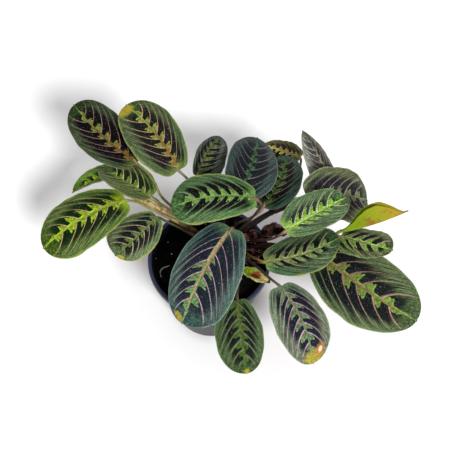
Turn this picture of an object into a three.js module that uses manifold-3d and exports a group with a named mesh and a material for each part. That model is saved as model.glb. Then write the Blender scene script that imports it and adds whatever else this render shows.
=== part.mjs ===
// Potted prayer plant (maranta): nursery pot, soil, three leafy shoots and 21 leaves.
// Millimetres, +Z up. The origin is the middle of the pot's flat underside, +X is the
// picture's right and +Y points away from the camera.

import * as THREE from 'three';
import { mergeVertices } from 'three/addons/utils/BufferGeometryUtils.js';
import initManifold from 'manifold-3d';

const wasm = await initManifold();
wasm.setup();
const { Manifold, Mesh: SolidMesh } = wasm;

// Driving dimensions.

const POT_HEIGHT = 100;
const POT_RIM_RADIUS = 60;
const POT_BASE_RADIUS = 40;
const POT_WALL = 1.4;
const POT_FLOOR = 2;
const RIM_BAND = 7; // height of the rolled band at the top
const RIM_STEP = 3.6; // how far the band stands out from the wall
const RIM_ROUND = 1.3;
const POT_SIDES = 48;
const DRAIN_COUNT = 8;
const DRAIN_RADIUS = 4;
const DRAIN_CIRCLE = 29;

const FIT_GAP = 0.3; // between pieces that touch
const SOIL_TOP = 89;
const SOIL_RINGS = [0.22, 0.45, 0.68, 0.88, 1];
const SOIL_SIDES = 36;
const HOLE_GAP = 0.6; // round each stem that stands in the soil
const FOOT_Z = 72; // how deep the stems stand

const BLADE_THICKNESS = 0.7;
const BLADE_STEPS = 10; // along the blade
const BLADE_ACROSS = [-1, -0.66, -0.33, 0, 0.33, 0.66, 1];
const BLADE_END_SHARE = 0.045; // width that is left at the two ends
const MIDRIB_DEPTH = 1.3; // how far the midrib stands out below
const LOBE_LENGTH = 0.04; // how far the rounded base reaches back, by length
const EDGE_WAVE = 0.7;

const STALK_FOOT_RADIUS = 2;
const STALK_NECK_RADIUS = 1.25;
const JOINT_RADIUS = 1.6; // the thicker joint just below the blade
const STALK_END_RADIUS = 1;
const STALK_SIDES = 6;
const SHOOT_SIDES = 8;
const SHEATH_STEP = 0.5; // how much each sheath adds to the shoot's radius
const SEAT_GAP = 0.1; // stalk to shoot, where their faceted rings already leave some room

// Each shoot: middle line from the soil outwards, its radii at the two ends and the
// number of leaf sheaths along it.
const SHOOTS = {
  shoot_left: {
    path: [[-12, 31, 93], [-20, 32, 102], [-32, 36, 110], [-45, 42, 117], [-58, 49, 121],
      [-71, 54, 121], [-80, 60, 120]],
    radii: [3.2, 1.8],
    sheaths: 4,
  },
  shoot_back: {
    path: [[33, 33, 93], [44, 36, 106], [59, 41, 116], [74, 47, 122], [86, 52, 124]],
    radii: [3.4, 2.4],
    sheaths: 3,
  },
  shoot_right: {
    path: [[41, 13, 93], [55, 11, 105], [76, 6, 111], [95, 4, 115], [110, 4, 118]],
    radii: [3, 1.9],
    sheaths: 3,
  },
};

// Each leaf: where the blade starts and ends, its width, and the stalk's route up to it.
// A stalk starts at a foot in the soil or beside a shoot, at a share of the shoot's length
// and on the named side. The other values bend the blade:
// droop: arch from base to tip in degrees; fold and cup: how the left and right halves
// rise at the midrib and turn down again; bow: sideways curve; skew: wider left half;
// widest: where the left and right halves are widest; blunt: over 0.5 for pointed ends.
const LEAVES = {
  leaf_01: {
    base: [-72, 85, 140], tip: [-135, 139, 162], width: 54, bow: 5.5, skew: -0.09, fold: [4, 5],
    widest: [0.51, 0.57], shoot: 'shoot_left', share: 0.36, side: [-0.2, 0.8, 0.6],
    stalk: [[-47, 53, 128], [-53, 63, 136], [-61, 73, 140]],
  },
  leaf_02: {
    base: [-29, 69, 150], tip: [-82, 133, 169], width: 54, bow: -3.5, skew: 0.09, fold: [1, 11],
    widest: [0.45, 0.63], foot: [3, 38], stalk: [[0, 41, 112], [-8, 47, 134], [-18, 58, 146]],
  },
  leaf_03: {
    base: [-76, 91, 112], tip: [-140, 74, 103], width: 43, bow: -4, skew: -0.14, droop: 25,
    fold: [52, -6], cup: [15, 25], widest: [0.41, 0.45], shoot: 'shoot_left', share: 0.86,
    side: [0.3, 0.9, 0.2], stalk: [[-75, 71, 119], [-77, 82, 115]],
  },
  leaf_04: {
    base: [-82, 50, 126], tip: [-160, 5, 110], width: 60, bow: -4, fold: [-9, 7], cup: [15, 25],
    widest: [0.63, 0.6], shoot: 'shoot_left', share: 0.45, side: [0, -0.6, 0.8],
    stalk: [[-60, 43, 124], [-70, 47, 127]],
  },
  leaf_05: {
    base: [-57, 50, 131], tip: [-106, 84, 128], width: 50, skew: 0.03, droop: 25, fold: [46, 11],
    cup: [15, 35], widest: [0.33, 0.49], shoot: 'shoot_left', share: 0.52, side: [-0.1, 0.3, 0.95],
    stalk: [[-53, 49, 127]],
  },
  leaf_06: {
    base: [-52, 39, 112], tip: [-92, 4, 97], width: 49, bow: 2.5, skew: -0.16, fold: [-6, 7],
    widest: [0.54, 0.77], shoot: 'shoot_left', share: 0.22, side: [0.3, -0.9, 0],
    stalk: [[-41, 34, 111]],
  },
  leaf_07: {
    base: [44, 27, 165], tip: [-34, 21, 158], width: 54, bow: -4.5, skew: -0.04, fold: [3, 7],
    widest: [0.62, 0.69], foot: [24, 30], stalk: [[34, 27, 116], [45, 24, 144], [49, 25, 158]],
  },
  leaf_08: {
    base: [22, 4, 150], tip: [-23, -77, 117], width: 66, bow: -3, skew: 0.11, droop: 35,
    fold: [4, 2], widest: [0.66, 0.43], foot: [15, 24], stalk: [[19, 18, 112], [24, 10, 134]],
  },
  leaf_09: {
    base: [27, -50, 109], tip: [36, -109, 74], width: 47, skew: -0.11, fold: [1, 0],
    widest: [0.52, 0.49], foot: [21, 10], stalk: [[25, -5, 102], [28, -26, 109]],
  },
  leaf_10: {
    base: [68, -35, 108], tip: [98, -102, 82], width: 50, bow: 5, skew: -0.05, fold: [9, 2],
    widest: [0.57, 0.45], foot: [31, 5], stalk: [[39, -6, 104], [49, -18, 110], [58, -28, 111]],
  },
  leaf_11: {
    base: [-12, 73, 135], tip: [9, 126, 128], width: 33, bow: 2, skew: -0.37, fold: [7, -5],
    widest: [0.58, 0.32], foot: [-5, 45], stalk: [[-6, 47, 110], [-9, 57, 127]],
  },
  leaf_12: {
    base: [30, 40, 151], tip: [48, 127, 124], width: 55, bow: -3.5, skew: -0.07, droop: 35,
    fold: [9, -15], widest: [0.52, 0.4], foot: [13, 43], stalk: [[17, 41, 118], [23, 37, 140]],
  },
  leaf_13: {
    base: [52, 35, 136], tip: [77, 112, 114], width: 47, bow: -5.5, skew: 0.05, fold: [-14, 15],
    widest: [0.56, 0.37], foot: [24, 41], stalk: [[34, 34, 114], [44, 31, 128]],
  },
  leaf_14: {
    base: [92, 111, 112], tip: [54, 131, 107], width: 45, droop: 20, fold: [-10, -20],
    cup: [25, 10], shoot: 'shoot_back', share: 0.8, side: [-0.5, 0.8, 0.1],
    stalk: [[84, 70, 121], [90, 90, 121]],
  },
  leaf_15: {
    base: [121, 79, 118], tip: [92, 115, 151], width: 39, bow: -1, skew: 0.41, blunt: 0.75,
    droop: 20, fold: [32, 81], cup: [10, 10], widest: [0.16, 0.28], shoot: 'shoot_back',
    share: 0.93, side: [0.6, -0.2, -0.75], stalk: [[101, 61, 119], [112, 70, 117]],
  },
  leaf_16: {
    base: [92, 40, 150], tip: [156, 56, 116], width: 58, bow: -3.5, skew: 0.05, droop: 60,
    fold: [22, -4], cup: [20, 30], widest: [0.53, 0.6], shoot: 'shoot_back', share: 0.72,
    side: [0.2, -0.7, 0.7], stalk: [[84, 39, 136]],
  },
  leaf_17: {
    base: [72, -3, 158], tip: [128, 29, 163], width: 45, bow: -1, skew: 0.08, droop: 25,
    fold: [9, 17], cup: [25, 5], widest: [0.43, 0.49], foot: [38, 23],
    stalk: [[49, 12, 113], [61, 0, 138]],
  },
  leaf_18: {
    base: [53, -20, 130], tip: [121, -3, 144], width: 46, bow: -7, skew: 0.12, fold: [-1, 0],
    widest: [0.58, 0.52], foot: [33, 14], stalk: [[38, 0, 106], [45, -13, 122]],
  },
  leaf_19: {
    base: [124, 4, 135], tip: [169, -17, 146], width: 45, bow: -2, skew: 0.19, fold: [-15, 7],
    cup: [19, 7], widest: [0.61, 0.28], shoot: 'shoot_right', share: 0.8, side: [0, 1, 0.2],
    stalk: [[110, 10, 123], [117, 8, 131]],
  },
  leaf_20: {
    base: [105, -6, 120], tip: [194, -68, 102], width: 78, bow: -6.5, skew: 0.06, fold: [10, 3],
    widest: [0.42, 0.41], shoot: 'shoot_right', share: 0.62, side: [0, -1, 0.1],
    stalk: [[97, -5, 117]],
  },
  leaf_21: {
    base: [122, 3, 146], tip: [181, 9, 172], width: 41, bow: -2.5, blunt: 2.1, droop: 0,
    fold: [59, 100], cup: [0, -10], widest: [0.61, 0.6], shoot: 'shoot_right', share: 0.93,
    side: [0.3, -0.2, 0.9], stalk: [[114, 2, 125], [117, 2, 136]],
  },
  dry_leaf_back: {
    base: [51, 26, 102], tip: [75, 22, 107], width: 17, bow: 2, droop: 40, fold: [45, 40],
    cup: [30, 40], shoot: 'shoot_back', share: 0.36, side: [0.1, -0.9, 0.1], stalk: [],
  },
  dry_leaf_front: {
    base: [34, -11, 96], tip: [58, -29, 104], width: 15, bow: -2, fold: [45, 50], cup: [60, 40],
    foot: [27, -2], stalk: [],
  },
};

const LEAF_DEFAULTS = {
  droop: 30, fold: [5, 5], cup: [25, 25], bow: 0, skew: 0, widest: [0.47, 0.47], blunt: 0.5,
};

// Small helpers.

const vec = (p) => new THREE.Vector3(p[0], p[1], p[2]);
const radians = THREE.MathUtils.degToRad;
const UP = new THREE.Vector3(0, 0, 1);

// A closed solid from a list of points and triangles.
function solidFrom(points, triangles) {
  const vertProperties = new Float32Array(points.flatMap((p) => [p.x, p.y, p.z]));
  const triVerts = new Uint32Array(triangles.flat());
  return new Manifold(new SolidMesh({ numProp: 3, vertProperties, triVerts }));
}

// A named mesh from a closed solid.
function meshFrom(solid, name, colour) {
  const data = solid.getMesh();
  const geometry = new THREE.BufferGeometry();
  geometry.setAttribute('position', new THREE.BufferAttribute(data.vertProperties, 3));
  geometry.setIndex(new THREE.BufferAttribute(data.triVerts, 1));
  const mesh = new THREE.Mesh(mergeVertices(geometry, 1e-4),
    new THREE.MeshStandardMaterial({ color: colour }));
  mesh.name = name;
  return mesh;
}

// A tube along a smooth line through the points, with a radius for each share of it.
function tube(points, radiusAt, sides, rings) {
  const curve = new THREE.CatmullRomCurve3(points, false, 'centripetal');
  const vertices = [];
  const triangles = [];
  let across = new THREE.Vector3(1, 0, 0);
  for (let i = 0; i <= rings; i += 1) {
    const share = i / rings;
    const middle = curve.getPointAt(share);
    const along = curve.getTangentAt(share);
    across = across.clone().addScaledVector(along, -across.dot(along)).normalize();
    const other = new THREE.Vector3().crossVectors(along, across);
    for (let k = 0; k < sides; k += 1) {
      const angle = (2 * Math.PI * k) / sides;
      vertices.push(middle.clone()
        .addScaledVector(across, Math.cos(angle) * radiusAt(share))
        .addScaledVector(other, Math.sin(angle) * radiusAt(share)));
    }
  }
  for (let i = 0; i < rings; i += 1) {
    for (let k = 0; k < sides; k += 1) {
      const a = i * sides + k;
      const b = i * sides + ((k + 1) % sides);
      triangles.push([a, b, a + sides], [b, b + sides, a + sides]);
    }
  }
  const last = rings * sides;
  for (let k = 1; k < sides - 1; k += 1) {
    triangles.push([0, k + 1, k], [last, last + k, last + k + 1]);
  }
  return solidFrom(vertices, triangles);
}

// Pot and soil.

// Outside radius of the pot's wall at a height.
function wallRadius(z) {
  const top = POT_RIM_RADIUS - RIM_STEP;
  return POT_BASE_RADIUS + ((top - POT_BASE_RADIUS) * z) / (POT_HEIGHT - RIM_BAND);
}

function makePot() {
  const bandLow = POT_HEIGHT - RIM_BAND;
  const inside = (z) => wallRadius(z) - POT_WALL;
  const profile = [
    [0, 0],
    [POT_BASE_RADIUS - 0.8, 0],
    [POT_BASE_RADIUS, 0.8],
    [wallRadius(bandLow * 0.5), bandLow * 0.5],
    [wallRadius(bandLow), bandLow],
    [POT_RIM_RADIUS - RIM_ROUND, bandLow],
    [POT_RIM_RADIUS, bandLow + RIM_ROUND],
    [POT_RIM_RADIUS, POT_HEIGHT - RIM_ROUND],
    [POT_RIM_RADIUS - 0.4 * RIM_ROUND, POT_HEIGHT - 0.3 * RIM_ROUND],
    [POT_RIM_RADIUS - RIM_ROUND, POT_HEIGHT],
    [inside(POT_HEIGHT) + RIM_ROUND, POT_HEIGHT],
    [inside(POT_HEIGHT) + 0.3 * RIM_ROUND, POT_HEIGHT - 0.4 * RIM_ROUND],
    [inside(POT_HEIGHT - RIM_ROUND), POT_HEIGHT - RIM_ROUND],
    [inside(bandLow), bandLow],
    [inside(POT_FLOOR + 1), POT_FLOOR + 1],
    [inside(POT_FLOOR) - 1, POT_FLOOR],
    [0, POT_FLOOR],
  ];
  let pot = Manifold.revolve([profile], POT_SIDES);
  for (let i = 0; i < DRAIN_COUNT; i += 1) {
    const angle = (2 * Math.PI * (i + 0.5)) / DRAIN_COUNT;
    pot = pot.subtract(Manifold.cylinder(POT_FLOOR + 2, DRAIN_RADIUS, DRAIN_RADIUS, 10)
      .translate([DRAIN_CIRCLE * Math.cos(angle), DRAIN_CIRCLE * Math.sin(angle), -1]));
  }
  return pot;
}

// Height of the soil's uneven top.
function soilHeight(x, y) {
  return SOIL_TOP + 0.9 * Math.sin(x / 9 + 1) * Math.cos(y / 11) + 0.7 * Math.sin(y / 7 - x / 15);
}

function makeSoil(feet) {
  const edge = (z) => wallRadius(z) - POT_WALL - FIT_GAP;
  const low = POT_FLOOR + FIT_GAP + 1;
  const vertices = [new THREE.Vector3(0, 0, soilHeight(0, 0)), new THREE.Vector3(0, 0, low)];
  const triangles = [];
  SOIL_RINGS.forEach((ring) => {
    for (let k = 0; k < SOIL_SIDES; k += 1) {
      const angle = (2 * Math.PI * k) / SOIL_SIDES;
      const x = ring * edge(SOIL_TOP) * Math.cos(angle);
      const y = ring * edge(SOIL_TOP) * Math.sin(angle);
      const z = ring === 1 ? SOIL_TOP : soilHeight(x, y);
      vertices.push(new THREE.Vector3(x, y, z));
    }
  });
  for (let k = 0; k < SOIL_SIDES; k += 1) {
    const angle = (2 * Math.PI * k) / SOIL_SIDES;
    vertices.push(new THREE.Vector3(edge(low) * Math.cos(angle), edge(low) * Math.sin(angle), low));
  }
  for (let k = 0; k < SOIL_SIDES; k += 1) {
    const next = (k + 1) % SOIL_SIDES;
    triangles.push([0, 2 + k, 2 + next]);
    for (let ring = 0; ring < SOIL_RINGS.length; ring += 1) {
      const a = 2 + ring * SOIL_SIDES + k;
      const b = 2 + ring * SOIL_SIDES + next;
      triangles.push([a, a + SOIL_SIDES, b], [b, a + SOIL_SIDES, b + SOIL_SIDES]);
    }
    const bottom = 2 + SOIL_RINGS.length * SOIL_SIDES;
    triangles.push([1, bottom + next, bottom + k]);
  }
  let soil = solidFrom(vertices, triangles);
  feet.forEach(({ x, y, radius }) => {
    const depth = SOIL_TOP - FOOT_Z + 8;
    soil = soil.subtract(Manifold.cylinder(depth, radius, radius, 10)
      .translate([x, y, FOOT_Z - FIT_GAP]));
  });
  return soil;
}

// Shoots.

// Points of a stem that stands upright in the soil and then follows its path.
function fromSoil([x, y], path) {
  return [vec([x, y, FOOT_Z]), vec([x, y, FOOT_Z + 9]), vec([x, y, SOIL_TOP + 3]),
    ...path.map(vec)];
}

function shootPoints(shoot) {
  const [first, ...rest] = shoot.path;
  return fromSoil(first, rest);
}

// Radius along a shoot: it thins out, and every sheath starts with a small step.
function shootRadius(shoot, share) {
  const [low, high] = shoot.radii;
  const inSheath = (share * shoot.sheaths) % 1;
  return low + (high - low) * share + SHEATH_STEP * (1 - inSheath);
}

function makeShoot(shoot) {
  return tube(shootPoints(shoot), (share) => shootRadius(shoot, share), SHOOT_SIDES,
    shoot.sheaths * 5);
}

// Leaves.

// Share of the half width at a share of the length, widest at the given share and with
// more pointed ends the larger blunt is.
function outline(share, widest, blunt) {
  const away = share < widest ? (widest - share) / widest : (share - widest) / (1 - widest);
  return Math.max(Math.max(1 - away ** 2.15, 0) ** blunt, BLADE_END_SHARE);
}

// Point on a blade's upper face: share runs from base to tip, across from -1 (right edge)
// to 1 (left edge).
function bladePoint(leaf, share, across) {
  const base = vec(leaf.base);
  const chord = vec(leaf.tip).sub(base);
  const length = chord.length();
  const forward = chord.clone().normalize();
  const left = new THREE.Vector3().crossVectors(UP, forward).normalize();
  const normal = new THREE.Vector3().crossVectors(forward, left);

  // the arch from base to tip
  const droop = radians(Math.max(leaf.droop, 0.1));
  const turn = droop * (0.5 - share);
  const chordScale = length / (2 * Math.sin(droop / 2));
  const along = chordScale * (Math.sin(droop / 2) - Math.sin(turn));
  const rise = chordScale * (Math.cos(turn) - Math.cos(droop / 2));
  const ahead = forward.clone().multiplyScalar(Math.cos(turn))
    .addScaledVector(normal, Math.sin(turn));
  const above = normal.clone().multiplyScalar(Math.cos(turn))
    .addScaledVector(forward, -Math.sin(turn));

  // the fold at the midrib and the curve of each half
  const side = across < 0 ? -1 : 1;
  const half = across < 0 ? 1 : 0;
  const reach = (leaf.width / 2) * (1 + leaf.skew * side);
  const out = Math.abs(across) * reach * outline(share, leaf.widest[half], leaf.blunt);
  const fold = radians(leaf.fold[half]);
  const cup = radians(leaf.cup[half] || 0.1);
  const bend = leaf.width / 2 / cup;
  const turned = fold - out / bend;
  const outward = bend * (Math.sin(fold) - Math.sin(turned));
  const raised = bend * (Math.cos(turned) - Math.cos(fold));

  const wave = EDGE_WAVE * across * across
    * Math.sin(share * 12 + side + leaf.base[0]) * Math.sin(Math.PI * share);
  const back = length * LOBE_LENGTH * (share / 0.05) * Math.exp(1 - share / 0.05)
    * Math.abs(across);
  const bow = leaf.bow * 4 * share * (1 - share);
  return base.addScaledVector(forward, along).addScaledVector(normal, rise)
    .addScaledVector(left, bow + side * outward)
    .addScaledVector(above, raised + wave)
    .addScaledVector(ahead, -back);
}

// Unit normal of the upper face.
function bladeNormal(leaf, share, across) {
  const step = 0.02;
  const ahead = bladePoint(leaf, Math.min(share + step, 1), across)
    .sub(bladePoint(leaf, Math.max(share - step, 0), across));
  const left = bladePoint(leaf, share, Math.min(across + step, 1))
    .sub(bladePoint(leaf, share, Math.max(across - step, -1)));
  return ahead.cross(left).normalize();
}

function makeBlade(leaf) {
  const vertices = [];
  const triangles = [];
  const columns = BLADE_ACROSS.length;
  const faceSize = (BLADE_STEPS + 1) * columns;
  for (let face = 0; face < 2; face += 1) {
    for (let i = 0; i <= BLADE_STEPS; i += 1) {
      const share = 0.5 - 0.5 * Math.cos((Math.PI * i) / BLADE_STEPS);
      BLADE_ACROSS.forEach((across) => {
        const rib = across === 0 ? MIDRIB_DEPTH * (1 - 0.8 * share) * leaf.rib : 0;
        vertices.push(bladePoint(leaf, share, across).addScaledVector(
          bladeNormal(leaf, share, across), -face * (BLADE_THICKNESS + rib)));
      });
    }
  }
  for (let i = 0; i < BLADE_STEPS; i += 1) {
    for (let k = 0; k < columns - 1; k += 1) {
      const a = i * columns + k;
      const b = a + columns;
      triangles.push([a, b, a + 1], [a + 1, b, b + 1]);
      const c = a + faceSize;
      const d = b + faceSize;
      triangles.push([c, c + 1, d], [c + 1, d + 1, d]);
    }
  }
  // the rim that joins the two faces
  const loop = [];
  for (let k = 0; k < columns; k += 1) loop.push(k);
  for (let i = 1; i <= BLADE_STEPS; i += 1) loop.push(i * columns + columns - 1);
  for (let k = columns - 2; k >= 0; k -= 1) loop.push(BLADE_STEPS * columns + k);
  for (let i = BLADE_STEPS - 1; i > 0; i -= 1) loop.push(i * columns);
  loop.forEach((a, n) => {
    const b = loop[(n + 1) % loop.length];
    triangles.push([a, b, a + faceSize], [b, b + faceSize, a + faceSize]);
  });
  return solidFrom(vertices, triangles);
}

// Where a stalk starts beside a shoot, and its next point along the shoot.
function besideShoot(leaf) {
  const shoot = SHOOTS[leaf.shoot];
  const curve = new THREE.CatmullRomCurve3(shootPoints(shoot), false, 'centripetal');
  const along = curve.getTangentAt(leaf.share);
  const side = vec(leaf.side);
  side.addScaledVector(along, -side.dot(along)).normalize();
  const clear = shootRadius(shoot, leaf.share) + STALK_FOOT_RADIUS + SEAT_GAP;
  const start = curve.getPointAt(leaf.share).addScaledVector(side, clear);
  return [start, start.clone().addScaledVector(along, 4).addScaledVector(side, 1.6)];
}

function stalkPoints(leaf) {
  const ribDepth = BLADE_THICKNESS + MIDRIB_DEPTH * leaf.rib;
  const end = bladePoint(leaf, 0.07, 0)
    .addScaledVector(bladeNormal(leaf, 0.07, 0), -0.62 * ribDepth);
  const start = leaf.foot ? fromSoil(leaf.foot, leaf.stalk)
    : [...besideShoot(leaf), ...leaf.stalk.map(vec)];
  return [...start, vec(leaf.base).addScaledVector(UP, -1.2), end];
}

function makeLeaf(leaf) {
  const points = stalkPoints(leaf);
  const length = new THREE.CatmullRomCurve3(points, false, 'centripetal').getLength();
  const radiusAt = (share) => {
    const fromEnd = (1 - share) * length;
    if (fromEnd < 1) return STALK_END_RADIUS * leaf.rib;
    if (fromEnd < 9) return JOINT_RADIUS * leaf.rib;
    const thin = Math.min(share / 0.45, 1);
    return (STALK_FOOT_RADIUS + (STALK_NECK_RADIUS - STALK_FOOT_RADIUS) * thin) * leaf.rib;
  };
  const rings = Math.max(5, Math.round(length / 9));
  return makeBlade(leaf).add(tube(points, radiusAt, STALK_SIDES, rings));
}

// The part.

const part = new THREE.Group();
part.name = 'potted_prayer_plant';

const feet = [];
Object.values(SHOOTS).forEach((shoot) => {
  feet.push({
    x: shoot.path[0][0], y: shoot.path[0][1], radius: shootRadius(shoot, 0) + HOLE_GAP,
  });
});
Object.entries(LEAVES).forEach(([name, row]) => {
  const leaf = { ...LEAF_DEFAULTS, rib: name.startsWith('dry') ? 0.8 : 1, ...row };
  if (leaf.foot) {
    feet.push({
      x: leaf.foot[0], y: leaf.foot[1], radius: STALK_FOOT_RADIUS * leaf.rib + HOLE_GAP,
    });
  }
  part.add(meshFrom(makeLeaf(leaf), name, name.startsWith('dry') ? 0x7a5230 : 0x3f6b34));
});
Object.entries(SHOOTS).forEach(([name, shoot]) => {
  part.add(meshFrom(makeShoot(shoot), name, 0x8a7a4a));
});
part.add(meshFrom(makeSoil(feet), 'soil', 0x2a211b));
part.add(meshFrom(makePot(), 'pot', 0x14161c));

export default part;
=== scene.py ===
import math
from functools import cached_property
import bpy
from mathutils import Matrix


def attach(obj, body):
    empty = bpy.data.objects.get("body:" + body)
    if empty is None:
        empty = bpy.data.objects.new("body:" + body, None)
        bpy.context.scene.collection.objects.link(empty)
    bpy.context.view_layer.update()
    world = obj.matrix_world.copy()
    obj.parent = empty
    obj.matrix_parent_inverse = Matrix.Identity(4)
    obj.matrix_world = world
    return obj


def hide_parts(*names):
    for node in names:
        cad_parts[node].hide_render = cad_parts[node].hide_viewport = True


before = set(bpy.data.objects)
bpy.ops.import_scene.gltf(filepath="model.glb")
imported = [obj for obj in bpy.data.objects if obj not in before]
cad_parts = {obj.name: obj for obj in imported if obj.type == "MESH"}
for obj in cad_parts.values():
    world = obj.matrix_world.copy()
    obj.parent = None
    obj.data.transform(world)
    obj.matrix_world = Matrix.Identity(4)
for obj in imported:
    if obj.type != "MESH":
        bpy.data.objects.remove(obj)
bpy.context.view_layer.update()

from types import SimpleNamespace

import bmesh
import bpy
import numpy as np
from bpy.props import FloatProperty, FloatVectorProperty, IntProperty, PointerProperty
from mathutils import Vector

bl_info = {
    "name": "Potted prayer plant",
    "version": (1, 0, 0),
    "blender": (4, 5, 0),
    "location": "View3D > Sidebar > Prayer plant",
    "description": "Dresses the potted prayer plant: blades, stalks, shoots, soil, pot and stage",
    "category": "Object",
}

MM = 0.001
ROOT = "root"

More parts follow.
